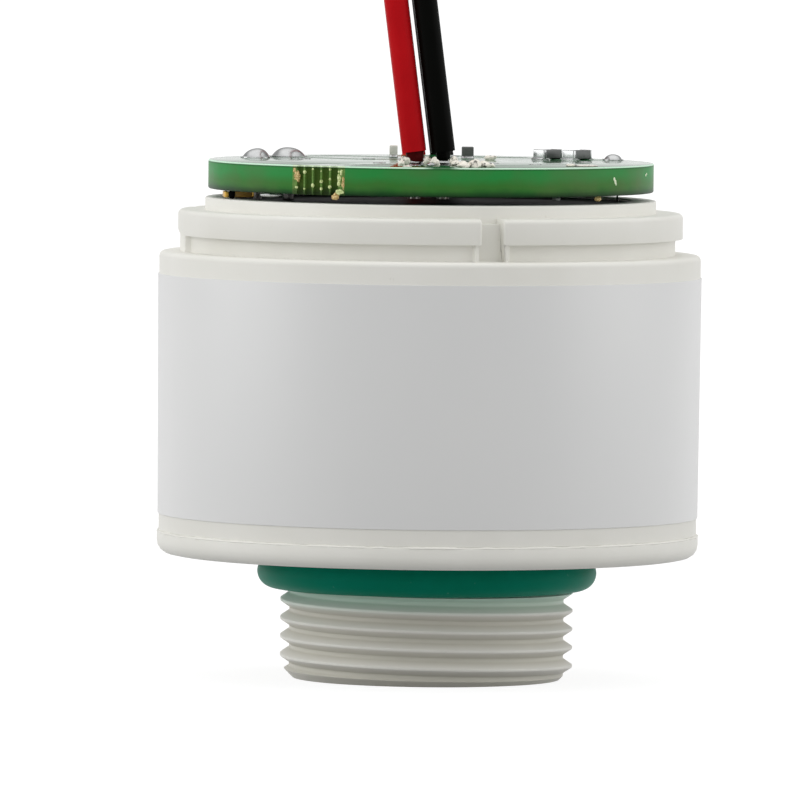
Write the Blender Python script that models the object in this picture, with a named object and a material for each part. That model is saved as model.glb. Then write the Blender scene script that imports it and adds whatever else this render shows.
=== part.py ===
"""Galvanic oxygen cell: threaded gas nose, welded cap and moulded can, inner cell, rear circuit board and two leads.

The cell stands on the end of its threaded nose. Z runs up its axis, and the origin is the centre of the nose's end face.
The front of the cell, where the snap ring's slot shows, looks along -Y.
"""

import math

import bmesh
import bpy
from mathutils import Matrix, Vector

MM = 0.001
FULL_TURN = 2 * math.pi
FRONT = math.radians(-90)

# Round pieces: how many flats they have
CAN_FLATS = 51
NOSE_FLATS = 40
DISC_FLATS = 32
DOME_FLATS = 16
HOLE_FLATS = 12

# Clearance between pieces that touch
SEAT_GAP = 0.03 * MM

# Threaded nose, M16 x 1
THREAD_DIAMETER = 15.9 * MM
THREAD_PITCH = 1.0 * MM
THREAD_DEPTH = 0.5 * MM
THREAD_LENGTH = 5.0 * MM
THREAD_LEAD_IN = 0.7 * MM
THREAD_RUN_OUT = 0.25 * MM
CREST_FLAT = 0.14 * MM
ROOT_FLAT = 0.2 * MM
FIRST_GROOVE_HEIGHT = 0.25 * MM
RELIEF_DEPTH = 0.56 * MM

# O-ring on the nose, and how far the thread's run-out reaches up inside it
O_RING_SECTION = 1.8 * MM
O_RING_OVERLAP = 0.14 * MM

# Gas inlet in the nose
RECESS_RADIUS = 5.6 * MM
RECESS_DEPTH = 1.9 * MM
WEB_THICKNESS = 0.8 * MM
WINDOW_RADIUS = 4.2 * MM
NOSE_BORE_RADIUS = 5.75 * MM
FILTER_THICKNESS = 0.5 * MM
RETAINER_HEIGHT = 0.8 * MM
RETAINER_WALL = 1.2 * MM

# Cap: rim, floor and the spigot that fits in the can
RIM_THICKNESS = 1.19 * MM
RIM_CORNER = 0.75 * MM
CAP_FLOOR_THICKNESS = 1.5 * MM
SPIGOT_HEIGHT = 1.6 * MM
SPIGOT_WALL = 1.2 * MM
SPIGOT_LEAD_IN = 0.2 * MM
WELD_CHAMFER = 0.08 * MM

# Moulded can
BODY_DIAMETER = 29.4 * MM
BODY_HEIGHT = 15.22 * MM
BODY_DRAFT = 0.1 * MM
BODY_WALL = 1.5 * MM
BODY_EDGE = 0.25 * MM
TOP_WALL = 1.6 * MM

# Collar and slotted snap ring on the can's shoulder
COLLAR_HEIGHT = 2.95 * MM
COLLAR_SETBACK = 2.46 * MM
COLLAR_WALL = 1.34 * MM
COLLAR_EDGE = 0.12 * MM
RING_HEIGHT = 2.27 * MM
RING_SETBACK = 1.0 * MM
RING_CHAMFER = 0.28 * MM
RING_SUNK = 0.3 * MM
UNDERCUT_HEIGHT = 0.9 * MM
UNDERCUT_DEPTH = 0.28 * MM
POST_WIDTH = 0.3 * MM
POST_DEPTH = 0.12 * MM
SLOT_COUNT = 3
SLOT_WIDTH = 1.2 * MM
FIRST_SLOT_ANGLE = FRONT + math.radians(14)
SLOT_BACK_STEP = 0.63 * MM
SLOT_BACK_HEIGHT = 1.72 * MM
STOP_WIDTH = 6.3 * MM

# Blank label round the can: how far it stays below the shoulder and above the weld
LABEL_DROP = 1.21 * MM
LABEL_RISE = 0.99 * MM
LABEL_THICKNESS = 0.05 * MM
LABEL_SEAM = 0.6 * MM

# Cell inside the nose and the can
GASKET_THICKNESS = 0.5 * MM
GASKET_WALL = 1.4 * MM
MEMBRANE_THICKNESS = 0.05 * MM
CATHODE_RADIUS = 4.8 * MM
CATHODE_THICKNESS = 0.3 * MM
CATHODE_HOLES = 6
CATHODE_HOLE_RADIUS = 0.4 * MM
CATHODE_HOLE_CIRCLE = 2.6 * MM
PLUG_FLANGE_OVERLAP = 1.75 * MM
PLUG_FLANGE_THICKNESS = 1.0 * MM
PLUG_CHANNELS = 4
PLUG_CHANNEL_RADIUS = 0.65 * MM
PLUG_CHANNEL_CIRCLE = 3.6 * MM
SEPARATOR_THICKNESS = 0.5 * MM
ANODE_HEIGHT = 6.5 * MM
ANODE_STRIP = 0.6 * MM
ANODE_TURN_SPACING = 1.5 * MM
ANODE_CORE_RADIUS = 5.0 * MM
ANODE_STEPS_PER_TURN = 24

# Titanium leads from the electrodes up to the board
LEAD_RADIUS = 0.3 * MM
LEAD_STICK_OUT = 0.25 * MM
LEAD_BEND_CLEARANCE = 0.8 * MM
LEAD_BEND_STEPS = 12
ANODE_LEAD_ANGLE = math.radians(159.8)
ANODE_LEAD_INSET = 0.75 * MM
CATHODE_LEAD_ANGLE = math.radians(142.4)
CATHODE_LEAD_INSET = 1.06 * MM

# Epoxy in the collar
POTTING_DROP = 0.15 * MM

# Circuit board
BOARD_SETBACK = 0.155 * MM
BOARD_STANDOFF = 0.45 * MM
BOARD_THICKNESS = 1.58 * MM
BITE_COUNT = 5
BITE_RADIUS = 0.22 * MM
BITE_SPACING = 0.53 * MM
BITE_ANGLE = FRONT - math.radians(30.5)

# Parts soldered to the board
CHIP_LENGTH = 1.6 * MM
CHIP_WIDTH = 0.8 * MM
CHIP_HEIGHT = 0.5 * MM
CHIP_TERMINAL = 0.25 * MM
CHIP_CAP_STEP = 0.02 * MM
SMALL_CHIP_LENGTH = 1.0 * MM
SMALL_CHIP_WIDTH = 0.45 * MM
SMALL_CHIP_HEIGHT = 0.6 * MM
THERMISTOR_WIDTH = 0.66 * MM
UNDERSIDE_CHIP_HEIGHT = 0.35 * MM

# Flying leads: insulation, bare core and the solder round it
WIRE_DIAMETER = 1.3 * MM
WIRE_CORE_RADIUS = 0.33 * MM
WIRE_STRIP = 0.68 * MM
WIRE_SPACING = 1.55 * MM
WIRE_INSET = 5.03 * MM
WIRE_SIDESTEP = -0.15 * MM
WIRE_LEAN = -0.13
WIRE_DRIFT = -0.004
CORE_TAIL = 0.25 * MM
JOINT_RADIUS = 0.72 * MM
JOINT_HEIGHT = 0.5 * MM
ROUTE_STEP = 3.2 * MM

# Two-way plug on the end of the leads
PLUG_WIDTH = 7.4 * MM
PLUG_LENGTH = 9.0 * MM
PLUG_HEIGHT = 5.0 * MM
PLUG_RIB_WIDTH = 0.9 * MM
PLUG_RIB_HEIGHT = 0.75 * MM
PLUG_EDGE = 0.2 * MM
PLUG_LIFT = 0.02 * MM
CONTACT_SPACING = 2.5 * MM
CAVITY_WIDTH = 1.95 * MM
CAVITY_HEIGHT = 2.1 * MM
WINDOW_WIDTH = 1.2 * MM
WINDOW_LENGTH = 2.2 * MM
CONTACT_WIDTH = 1.6 * MM
CONTACT_SOCKET = 1.0 * MM
CONTACT_LENGTH = 4.6 * MM
CONTACT_STRIP = 0.2 * MM
CRIMP_LENGTH = 1.3 * MM
CRIMP_WALL = 0.2 * MM
CRIMP_OPENING = math.radians(70)
WIRE_REACH = 1.9 * MM

# Heights up the axis, worked out from the sizes above
thread_radius = THREAD_DIAMETER / 2
relief_radius = thread_radius - RELIEF_DEPTH
rim_underside = THREAD_LENGTH + O_RING_SECTION + 2 * SEAT_GAP - O_RING_OVERLAP
weld_height = rim_underside + RIM_THICKNESS
cap_floor = rim_underside + CAP_FLOOR_THICKNESS
spigot_top = weld_height + SPIGOT_HEIGHT
web_top = RECESS_DEPTH + WEB_THICKNESS
foot = weld_height + SEAT_GAP
shoulder = weld_height + BODY_HEIGHT
cavity_top = shoulder - TOP_WALL
collar_top = shoulder + COLLAR_HEIGHT
ring_top = shoulder + RING_HEIGHT
ring_underside = shoulder + UNDERCUT_HEIGHT
label_top = shoulder - LABEL_DROP
label_bottom = weld_height + LABEL_RISE
potting_top = collar_top - POTTING_DROP
board_underside = collar_top + BOARD_STANDOFF
board_top = board_underside + BOARD_THICKNESS
insulation_start = board_top + WIRE_STRIP

# Radii
body_radius = BODY_DIAMETER / 2
foot_radius = body_radius - BODY_DRAFT
cavity_radius = body_radius - BODY_WALL
spigot_radius = cavity_radius - SEAT_GAP
collar_radius = body_radius - COLLAR_SETBACK
collar_bore = collar_radius - COLLAR_WALL
ring_radius = body_radius - RING_SETBACK
undercut_radius = ring_radius - UNDERCUT_DEPTH
post_radius = ring_radius - POST_DEPTH
board_radius = collar_radius - BOARD_SETBACK
inner_disc_radius = NOSE_BORE_RADIUS - SEAT_GAP

# Heights of the inner cell, stacked on the web in the nose
gasket_base = web_top + SEAT_GAP
membrane_base = gasket_base + GASKET_THICKNESS + SEAT_GAP
cathode_base = membrane_base + MEMBRANE_THICKNESS + SEAT_GAP
cathode_top = cathode_base + CATHODE_THICKNESS
plug_base = cathode_top + SEAT_GAP
plug_flange_base = max(cap_floor + SEAT_GAP, plug_base)
plug_top = plug_flange_base + PLUG_FLANGE_THICKNESS
separator_base = max(spigot_top, plug_top) + SEAT_GAP
separator_top = separator_base + SEPARATOR_THICKNESS
anode_base = separator_top + SEAT_GAP
anode_top = anode_base + ANODE_HEIGHT


def polar(radius, angle, height=0.0):
    """A point given by its radius and its angle round the axis."""
    return Vector((radius * math.cos(angle), radius * math.sin(angle), height))


anode_lead_spot = polar(collar_bore - ANODE_LEAD_INSET, ANODE_LEAD_ANGLE)
cathode_lead_spot = polar(collar_bore - CATHODE_LEAD_INSET, CATHODE_LEAD_ANGLE)
wire_centre = polar(board_radius - WIRE_INSET, FRONT) + Vector((WIRE_SIDESTEP, 0, 0))
red_wire_spot = wire_centre - Vector((WIRE_SPACING / 2, 0, 0))
black_wire_spot = wire_centre + Vector((WIRE_SPACING / 2, 0, 0))


# Modelling tools

def clear_scene():
    for old in list(bpy.data.objects):
        bpy.data.objects.remove(old, do_unlink=True)


def material(name, colour, roughness, metallic=0.0):
    """A Principled material with a linear colour."""
    made = bpy.data.materials.new(name)
    made.use_nodes = True
    shader = made.node_tree.nodes["Principled BSDF"]
    shader.inputs["Base Color"].default_value = (*colour, 1.0)
    shader.inputs["Roughness"].default_value = roughness
    shader.inputs["Metallic"].default_value = metallic
    return made


def make_object(name, bm, finish=None):
    """Turn a bmesh into a named object with smooth round faces and sharp edges."""
    mesh = bpy.data.meshes.new(name)
    bm.to_mesh(mesh)
    bm.free()
    mesh.shade_smooth()
    mesh.set_sharp_from_angle(angle=math.radians(30))
    if finish:
        mesh.materials.append(finish)
    made = bpy.data.objects.new(name, mesh)
    bpy.context.scene.collection.objects.link(made)
    return made


def as_cutter(tool):
    """Keep a shape that only cuts or adds to another out of the model."""
    tool.hide_render = True
    tool.display_type = "WIRE"
    return tool


def combine(target, tool, operation):
    """Cut a piece with a tool, or add the tool to it."""
    change = target.modifiers.new(operation.lower() + "_" + tool.name, "BOOLEAN")
    change.operation = operation
    change.solver = "EXACT"
    change.object = as_cutter(tool)


def arc(centre, radius, start, end, steps):
    """Points of a round corner in a (radius, height) profile; angles in degrees."""
    points = []
    for step in range(steps + 1):
        angle = math.radians(start + (end - start) * step / steps)
        points.append((centre[0] + radius * math.cos(angle), centre[1] + radius * math.sin(angle)))
    return points


def spin_profile(bm, profile, flats, start=0.0, sweep=FULL_TURN, rise=0.0):
    """Spin a closed (radius, height) outline about Z, rising by the given height over the whole sweep."""
    corners = [bm.verts.new(polar(radius, start, height)) for radius, height in profile]
    edges = []
    for here, there in zip(range(len(corners)), [*range(1, len(corners)), 0]):
        if profile[here][0] > 0 or profile[there][0] > 0:
            edges.append(bm.edges.new((corners[here], corners[there])))
    made = bmesh.ops.spin(
        bm, geom=corners + edges, cent=(0, 0, 0), axis=(0, 0, 1), angle=sweep, steps=flats, dvec=(0, 0, rise / flats)
    )
    closed_round = sweep == FULL_TURN and rise == 0.0
    if not closed_round:
        first = edges
        last = [item for item in made["geom_last"] if isinstance(item, bmesh.types.BMEdge)]
        bmesh.ops.edgeloop_fill(bm, edges=first)
        bmesh.ops.edgeloop_fill(bm, edges=last)
    bmesh.ops.remove_doubles(bm, verts=bm.verts, dist=0.0005 * MM)
    bmesh.ops.recalc_face_normals(bm, faces=bm.faces)


def turned(name, profile, flats, finish=None, start=0.0, sweep=FULL_TURN, rise=0.0):
    """A piece spun from one outline."""
    bm = bmesh.new()
    spin_profile(bm, profile, flats, start, sweep, rise)
    return make_object(name, bm, finish)


def disc_profile(radius, base, top, bore=0.0):
    return [(bore, base), (radius, base), (radius, top), (bore, top)]


def peg_group(name, spots, radius, base, top, flats=HOLE_FLATS):
    """Upright round pegs at several spots, as one tool for drilling."""
    bm = bmesh.new()
    for spot in spots:
        placed = Matrix.Translation((spot.x, spot.y, (base + top) / 2))
        bmesh.ops.create_cone(
            bm, cap_ends=True, segments=flats, radius1=radius, radius2=radius, depth=top - base, matrix=placed
        )
    return make_object(name, bm)


def add_block(bm, centre, size):
    """A box in a bmesh, given by its centre and its size along X, Y and Z."""
    placed = Matrix.Translation(centre) @ Matrix.Diagonal((*size, 1.0))
    return bmesh.ops.create_cube(bm, size=1.0, matrix=placed)["verts"]


def block_group(name, boxes, finish=None, edge=0.0):
    """Boxes that don't meet, as one object, with their edges rounded if asked."""
    bm = bmesh.new()
    for centre, size in boxes:
        add_block(bm, centre, size)
    if edge:
        bmesh.ops.bevel(bm, geom=bm.edges[:], offset=edge, segments=2, profile=0.5, affect="EDGES")
    return make_object(name, bm, finish)


def smooth_route(route, step):
    """Points about one step apart on the smooth curve through a route's own points."""
    ends = [2 * route[0] - route[1], *route, 2 * route[-1] - route[-2]]
    points = [route[0]]
    for before, here, there, after in zip(ends, ends[1:], ends[2:], ends[3:]):
        pieces = max(1, round((there - here).length / step))
        for piece in range(1, pieces + 1):
            t = piece / pieces
            points.append(
                0.5 * (2 * here + (there - before) * t + (2 * before - 5 * here + 4 * there - after) * t * t
                       + (3 * here - before - 3 * there + after) * t * t * t)
            )
    return points


def round_rod(name, points, radius, finish):
    """A round rod or wire along a line of points, with closed ends."""
    path = bpy.data.curves.new(name, "CURVE")
    path.dimensions = "3D"
    path.bevel_depth = radius
    path.bevel_resolution = 2
    path.use_fill_caps = True
    path.materials.append(finish)
    line = path.splines.new("POLY")
    line.points.add(len(points) - 1)
    for place, point in zip(line.points, points):
        place.co = (*point, 1.0)
    made = bpy.data.objects.new(name, path)
    bpy.context.scene.collection.objects.link(made)
    return made


# Nose, cap and the gas inlet

def thread_groove():
    """The groove between the thread's crests, as a tool that climbs one pitch a turn past both ends of the thread."""
    half_root = ROOT_FLAT / 2
    half_mouth = (THREAD_PITCH - CREST_FLAT) / 2
    root_radius = thread_radius - THREAD_DEPTH
    overshoot = THREAD_DEPTH / 10
    half_outside = half_mouth + (half_mouth - half_root) * overshoot / THREAD_DEPTH
    start_height = FIRST_GROOVE_HEIGHT - THREAD_PITCH
    turns = math.ceil((THREAD_LENGTH - start_height) / THREAD_PITCH)
    section = [
        (root_radius, start_height - half_root),
        (thread_radius + overshoot, start_height - half_outside),
        (thread_radius + overshoot, start_height + half_outside),
        (root_radius, start_height + half_root),
    ]
    return turned(
        "groove_cutter", section, turns * NOSE_FLATS, sweep=turns * FULL_TURN, rise=turns * THREAD_PITCH
    )


def front_cap(finish):
    """Nose, relief for the O-ring, rim, and the spigot that locates the cap in the can, as one moulding."""
    corner = min(RIM_CORNER, 0.9 * RIM_THICKNESS)
    profile = [
        (RECESS_RADIUS, 0),
        (thread_radius - THREAD_LEAD_IN, 0),
        (thread_radius, THREAD_LEAD_IN),
        (thread_radius, THREAD_LENGTH - THREAD_RUN_OUT),
        (relief_radius, THREAD_LENGTH),
        (relief_radius, rim_underside),
        *arc((body_radius - corner, rim_underside + corner), corner, -90, 0, 4),
        (body_radius, weld_height - WELD_CHAMFER),
        (body_radius - WELD_CHAMFER, weld_height),
        (spigot_radius, weld_height),
        (spigot_radius, spigot_top - SPIGOT_LEAD_IN),
        (spigot_radius - SPIGOT_LEAD_IN, spigot_top),
        (spigot_radius - SPIGOT_WALL, spigot_top),
        (spigot_radius - SPIGOT_WALL, cap_floor),
        (NOSE_BORE_RADIUS, cap_floor),
        (NOSE_BORE_RADIUS, web_top),
        (WINDOW_RADIUS, web_top),
        (WINDOW_RADIUS, RECESS_DEPTH),
        (RECESS_RADIUS, RECESS_DEPTH),
    ]
    half_flat = math.pi / NOSE_FLATS
    cap = turned("front_cap", profile, NOSE_FLATS, finish, start=half_flat)
    combine(cap, thread_groove(), "DIFFERENCE")
    return cap


def nose_o_ring(finish):
    section = O_RING_SECTION / 2
    centre = (relief_radius + SEAT_GAP + section, rim_underside - SEAT_GAP - section)
    return turned("nose_o_ring", arc(centre, section, 0, 330, 11), NOSE_FLATS, finish)


def gas_inlet(filter_finish, retainer_finish):
    """Dust filter against the web, and the pressed-in ring that keeps it there."""
    radius = RECESS_RADIUS - SEAT_GAP
    filter_base = RECESS_DEPTH - SEAT_GAP - FILTER_THICKNESS
    retainer_top = filter_base - SEAT_GAP
    turned(
        "dust_filter", disc_profile(radius, filter_base, filter_base + FILTER_THICKNESS), DISC_FLATS, filter_finish
    )
    ring = disc_profile(radius, retainer_top - RETAINER_HEIGHT, retainer_top, radius - RETAINER_WALL)
    turned("filter_retainer", ring, DISC_FLATS, retainer_finish)


# Can with its collar and snap ring

def snap_ring():
    """Arcs of the snap ring, undercut up to a post by each slot and a wide stop on one arc, to add to the can."""
    slot_half_angle = math.asin(SLOT_WIDTH / 2 / ring_radius)
    post_angle = POST_WIDTH / ring_radius
    spacing = FULL_TURN / SLOT_COUNT
    sweep = spacing - 2 * slot_half_angle
    steps = CAN_FLATS // SLOT_COUNT
    buried = collar_radius - COLLAR_WALL / 2
    base = shoulder - RING_SUNK
    section = [
        (buried, base),
        (post_radius, base),
        (post_radius, ring_underside),
        (ring_radius, ring_underside),
        (ring_radius, ring_top - RING_CHAMFER),
        (ring_radius - RING_CHAMFER, ring_top),
        (buried, ring_top),
    ]
    undercut = disc_profile(ring_radius + RING_SETBACK, base - RING_SUNK, ring_underside, undercut_radius)
    arcs = bmesh.new()
    grooves = bmesh.new()
    for slot in range(SLOT_COUNT):
        start = FIRST_SLOT_ANGLE + slot * spacing + slot_half_angle
        solid = STOP_WIDTH / ring_radius if slot == SLOT_COUNT - 1 else post_angle
        spin_profile(arcs, section, steps, start, sweep)
        spin_profile(grooves, undercut, steps, start + solid, sweep - solid - post_angle)
    ring = make_object("ring_adder", arcs)
    combine(ring, make_object("undercut_cutter", grooves), "DIFFERENCE")
    return ring


def sensor_body(finish):
    """The can: side wall with draft, top wall, collar and slotted snap ring, open underneath."""
    profile = [
        (0, cavity_top),
        (cavity_radius, cavity_top),
        (cavity_radius, foot),
        (foot_radius - WELD_CHAMFER, foot),
        (foot_radius, foot + WELD_CHAMFER),
        *arc((body_radius - BODY_EDGE, shoulder - BODY_EDGE), BODY_EDGE, 0, 90, 3),
        (collar_radius + SLOT_BACK_STEP, shoulder),
        (collar_radius + SLOT_BACK_STEP, shoulder + SLOT_BACK_HEIGHT),
        (collar_radius, shoulder + SLOT_BACK_HEIGHT),
        (collar_radius, collar_top - COLLAR_EDGE),
        (collar_radius - COLLAR_EDGE, collar_top),
        (collar_bore, collar_top),
        (collar_bore, shoulder),
        (0, shoulder),
    ]
    body = turned("sensor_body", profile, CAN_FLATS, finish)
    combine(body, snap_ring(), "UNION")
    drill_for_leads(body, cavity_top, shoulder)
    return body


def drill_for_leads(piece, base, top):
    """Holes for the two titanium leads, through a piece between two heights."""
    past = TOP_WALL / 4
    spots = [anode_lead_spot, cathode_lead_spot]
    drill = peg_group("lead_drill_" + piece.name, spots, LEAD_RADIUS + SEAT_GAP, base - past, top + past)
    combine(piece, drill, "DIFFERENCE")


def body_radius_at(height):
    """Radius of the can's drafted side at a height."""
    share = (height - foot) / (shoulder - foot)
    return foot_radius + (body_radius - foot_radius) * share


def blank_label(finish):
    """Paper label wrapped round the can, its two ends parted by a narrow seam at the back."""
    low = body_radius_at(label_bottom) + SEAT_GAP
    high = body_radius_at(label_top) + SEAT_GAP
    section = [
        (low, label_bottom),
        (low + LABEL_THICKNESS, label_bottom),
        (high + LABEL_THICKNESS, label_top),
        (high, label_top),
    ]
    seam_angle = LABEL_SEAM / body_radius
    start = -FRONT + seam_angle / 2
    return turned("blank_label", section, CAN_FLATS, finish, start=start, sweep=FULL_TURN - seam_angle)


# Electrochemical cell

def membrane_stack(rubber, film, gold):
    """Gasket on the web, sensing membrane and gold cathode, one on the other."""
    gasket = disc_profile(
        inner_disc_radius, gasket_base, gasket_base + GASKET_THICKNESS, inner_disc_radius - GASKET_WALL
    )
    turned("membrane_gasket", gasket, DISC_FLATS, rubber)
    sheet = disc_profile(inner_disc_radius, membrane_base, membrane_base + MEMBRANE_THICKNESS)
    turned("sensing_membrane", sheet, DISC_FLATS, film)
    cathode = turned("gold_cathode", disc_profile(CATHODE_RADIUS, cathode_base, cathode_top), DISC_FLATS, gold)
    holes = [polar(CATHODE_HOLE_CIRCLE, FULL_TURN * hole / CATHODE_HOLES) for hole in range(CATHODE_HOLES)]
    past = CATHODE_THICKNESS
    combine(
        cathode,
        peg_group("cathode_drill", holes, CATHODE_HOLE_RADIUS, cathode_base - past, cathode_top + past),
        "DIFFERENCE",
    )


def cathode_support(finish):
    """Flanged plug that presses the cathode on the membrane, with channels for the electrolyte."""
    profile = [
        (LEAD_RADIUS + SEAT_GAP, plug_base),
        (inner_disc_radius, plug_base),
        (inner_disc_radius, plug_flange_base),
        (NOSE_BORE_RADIUS + PLUG_FLANGE_OVERLAP, plug_flange_base),
        (NOSE_BORE_RADIUS + PLUG_FLANGE_OVERLAP, plug_top),
        (LEAD_RADIUS + SEAT_GAP, plug_top),
    ]
    support = turned("cathode_support", profile, DISC_FLATS, finish)
    channels = [polar(PLUG_CHANNEL_CIRCLE, FULL_TURN * slot / PLUG_CHANNELS) for slot in range(PLUG_CHANNELS)]
    past = PLUG_FLANGE_THICKNESS / 2
    combine(
        support,
        peg_group("channel_drill", channels, PLUG_CHANNEL_RADIUS, plug_base - past, plug_top + past),
        "DIFFERENCE",
    )


def separator(finish):
    """Wick that parts the cathode's plug from the lead roll, with a hole for the cathode's lead."""
    hole = LEAD_RADIUS + SEAT_GAP
    turned("separator", disc_profile(spigot_radius, separator_base, separator_top, hole), CAN_FLATS, finish)


def lead_anode(finish):
    """A strip of lead rolled into a spiral, placed so that one turn passes under its lead."""
    outer_limit = cavity_radius - ANODE_STRIP / 2 - 2 * SEAT_GAP
    turns = math.floor((outer_limit - ANODE_CORE_RADIUS) / ANODE_TURN_SPACING)
    steps = turns * ANODE_STEPS_PER_TURN
    lead_radius = anode_lead_spot.length
    lead_turn = (lead_radius - ANODE_CORE_RADIUS) / ANODE_TURN_SPACING
    start = ANODE_LEAD_ANGLE - lead_turn * FULL_TURN
    bm = bmesh.new()
    pairs = []
    for step in range(steps + 1):
        along = turns * step / steps
        middle = ANODE_CORE_RADIUS + along * ANODE_TURN_SPACING
        angle = start + along * FULL_TURN
        inside = bm.verts.new(polar(middle - ANODE_STRIP / 2, angle, anode_base))
        outside = bm.verts.new(polar(middle + ANODE_STRIP / 2, angle, anode_base))
        pairs.append((inside, outside))
    for here, there in zip(pairs, pairs[1:]):
        bm.faces.new((here[0], here[1], there[1], there[0]))
    raised = bmesh.ops.extrude_face_region(bm, geom=bm.faces[:])
    lifted = [item for item in raised["geom"] if isinstance(item, bmesh.types.BMVert)]
    bmesh.ops.translate(bm, verts=lifted, vec=(0, 0, ANODE_HEIGHT))
    bmesh.ops.recalc_face_normals(bm, faces=bm.faces)
    return make_object("lead_anode", bm, finish)


def electrode_leads(finish):
    """Titanium wires: one up from the lead roll, and one from the cathode that bends aside above the roll."""
    top = board_top + LEAD_STICK_OUT
    foot_of_anode_lead = anode_lead_spot + Vector((0, 0, anode_top + SEAT_GAP))
    round_rod("anode_lead", [foot_of_anode_lead, anode_lead_spot + Vector((0, 0, top))], LEAD_RADIUS, finish)
    low = anode_top + LEAD_BEND_CLEARANCE
    high = cavity_top - LEAD_BEND_CLEARANCE
    points = [Vector((0, 0, cathode_top + SEAT_GAP))]
    for step in range(LEAD_BEND_STEPS + 1):
        share = step / LEAD_BEND_STEPS
        eased = share * share * (3 - 2 * share)
        points.append(cathode_lead_spot * eased + Vector((0, 0, low + (high - low) * share)))
    points.append(cathode_lead_spot + Vector((0, 0, top)))
    round_rod("cathode_lead", points, LEAD_RADIUS, finish)


def rear_potting(finish):
    """Epoxy poured in the collar round the two leads."""
    base = shoulder + SEAT_GAP
    fill = turned("rear_potting", disc_profile(collar_bore - SEAT_GAP, base, potting_top), CAN_FLATS, finish)
    drill_for_leads(fill, base, potting_top)


# Circuit board and what is soldered to it

def circuit_board(finish):
    """Round board with drilled holes and the row of half-round bites where it was broken from its panel."""
    board = turned("circuit_board", disc_profile(board_radius, board_underside, board_top), CAN_FLATS, finish)
    drill_for_leads(board, board_underside, board_top)
    past = BOARD_THICKNESS / 4
    wire_drill = peg_group(
        "wire_drill", [red_wire_spot, black_wire_spot], WIRE_CORE_RADIUS + SEAT_GAP, board_underside - past,
        board_top + past
    )
    combine(board, wire_drill, "DIFFERENCE")
    bite_step = BITE_SPACING / board_radius
    bites = []
    for bite in range(BITE_COUNT):
        bites.append(polar(board_radius, BITE_ANGLE + (bite - (BITE_COUNT - 1) / 2) * bite_step))
    bite_drill = peg_group("bite_drill", bites, BITE_RADIUS, board_underside - past, board_top + past)
    combine(board, bite_drill, "DIFFERENCE")


def solder_dome(name, spot, radius, height, finish, socket=0.0, socket_depth=0.0):
    """A drop of solder on the board, with a blind hole where a lead stands up in it."""
    base = board_top + SEAT_GAP
    sphere_radius = (radius * radius + height * height) / (2 * height)
    widest = math.degrees(math.asin(min(1.0, radius / sphere_radius)))
    if height > radius:
        widest = 180 - widest
    centre = (0, base + height - sphere_radius)
    profile = [(0, base), *arc(centre, sphere_radius, 90 - widest, 90, 5)]
    profile[-1] = (0, base + height)
    if socket:
        profile = [(0, base + socket_depth), (socket, base + socket_depth), (socket, base)] + profile[1:]
    dome = turned(name, profile, DOME_FLATS, finish)
    dome.location = (spot.x, spot.y, 0)
    return dome


def wire_joint(name, spot, finish):
    """A cone of solder round a bare core, on the board's top face."""
    base = board_top + SEAT_GAP
    bore = WIRE_CORE_RADIUS + SEAT_GAP
    profile = [
        (bore, base),
        (JOINT_RADIUS, base),
        (JOINT_RADIUS * 0.8, base + JOINT_HEIGHT * 0.35),
        (bore + (JOINT_RADIUS - bore) * 0.25, base + JOINT_HEIGHT),
        (bore, base + JOINT_HEIGHT),
    ]
    joint = turned(name, profile, DOME_FLATS, finish)
    joint.location = (spot.x, spot.y, 0)


def chip(name, spot, angle, base, length, width, height, finish):
    """A chip part: a block whose soldered ends stand a little proud of its middle."""
    stations = [
        (-length / 2, 0.0),
        (-length / 2 + CHIP_TERMINAL, 0.0),
        (-length / 2 + CHIP_TERMINAL, CHIP_CAP_STEP),
        (length / 2 - CHIP_TERMINAL, CHIP_CAP_STEP),
        (length / 2 - CHIP_TERMINAL, 0.0),
        (length / 2, 0.0),
    ]
    bm = bmesh.new()
    rings = []
    for along, step in stations:
        side = width / 2 - step
        low = base + step
        high = base + height - step
        corners = [(along, -side, low), (along, side, low), (along, side, high), (along, -side, high)]
        rings.append([bm.verts.new(corner) for corner in corners])
    for here, there in zip(rings, rings[1:]):
        for corner in range(4):
            after = (corner + 1) % 4
            bm.faces.new((here[corner], here[after], there[after], there[corner]))
    bm.faces.new(rings[0])
    bm.faces.new(rings[-1])
    bmesh.ops.recalc_face_normals(bm, faces=bm.faces)
    part = make_object(name, bm, finish)
    part.location = (spot.x, spot.y, 0)
    part.rotation_euler = (0, 0, angle)


def on_board(inset, degrees):
    """A spot on the board, by its distance from the edge and its angle round the axis."""
    return polar(board_radius - inset, math.radians(degrees))


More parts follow.
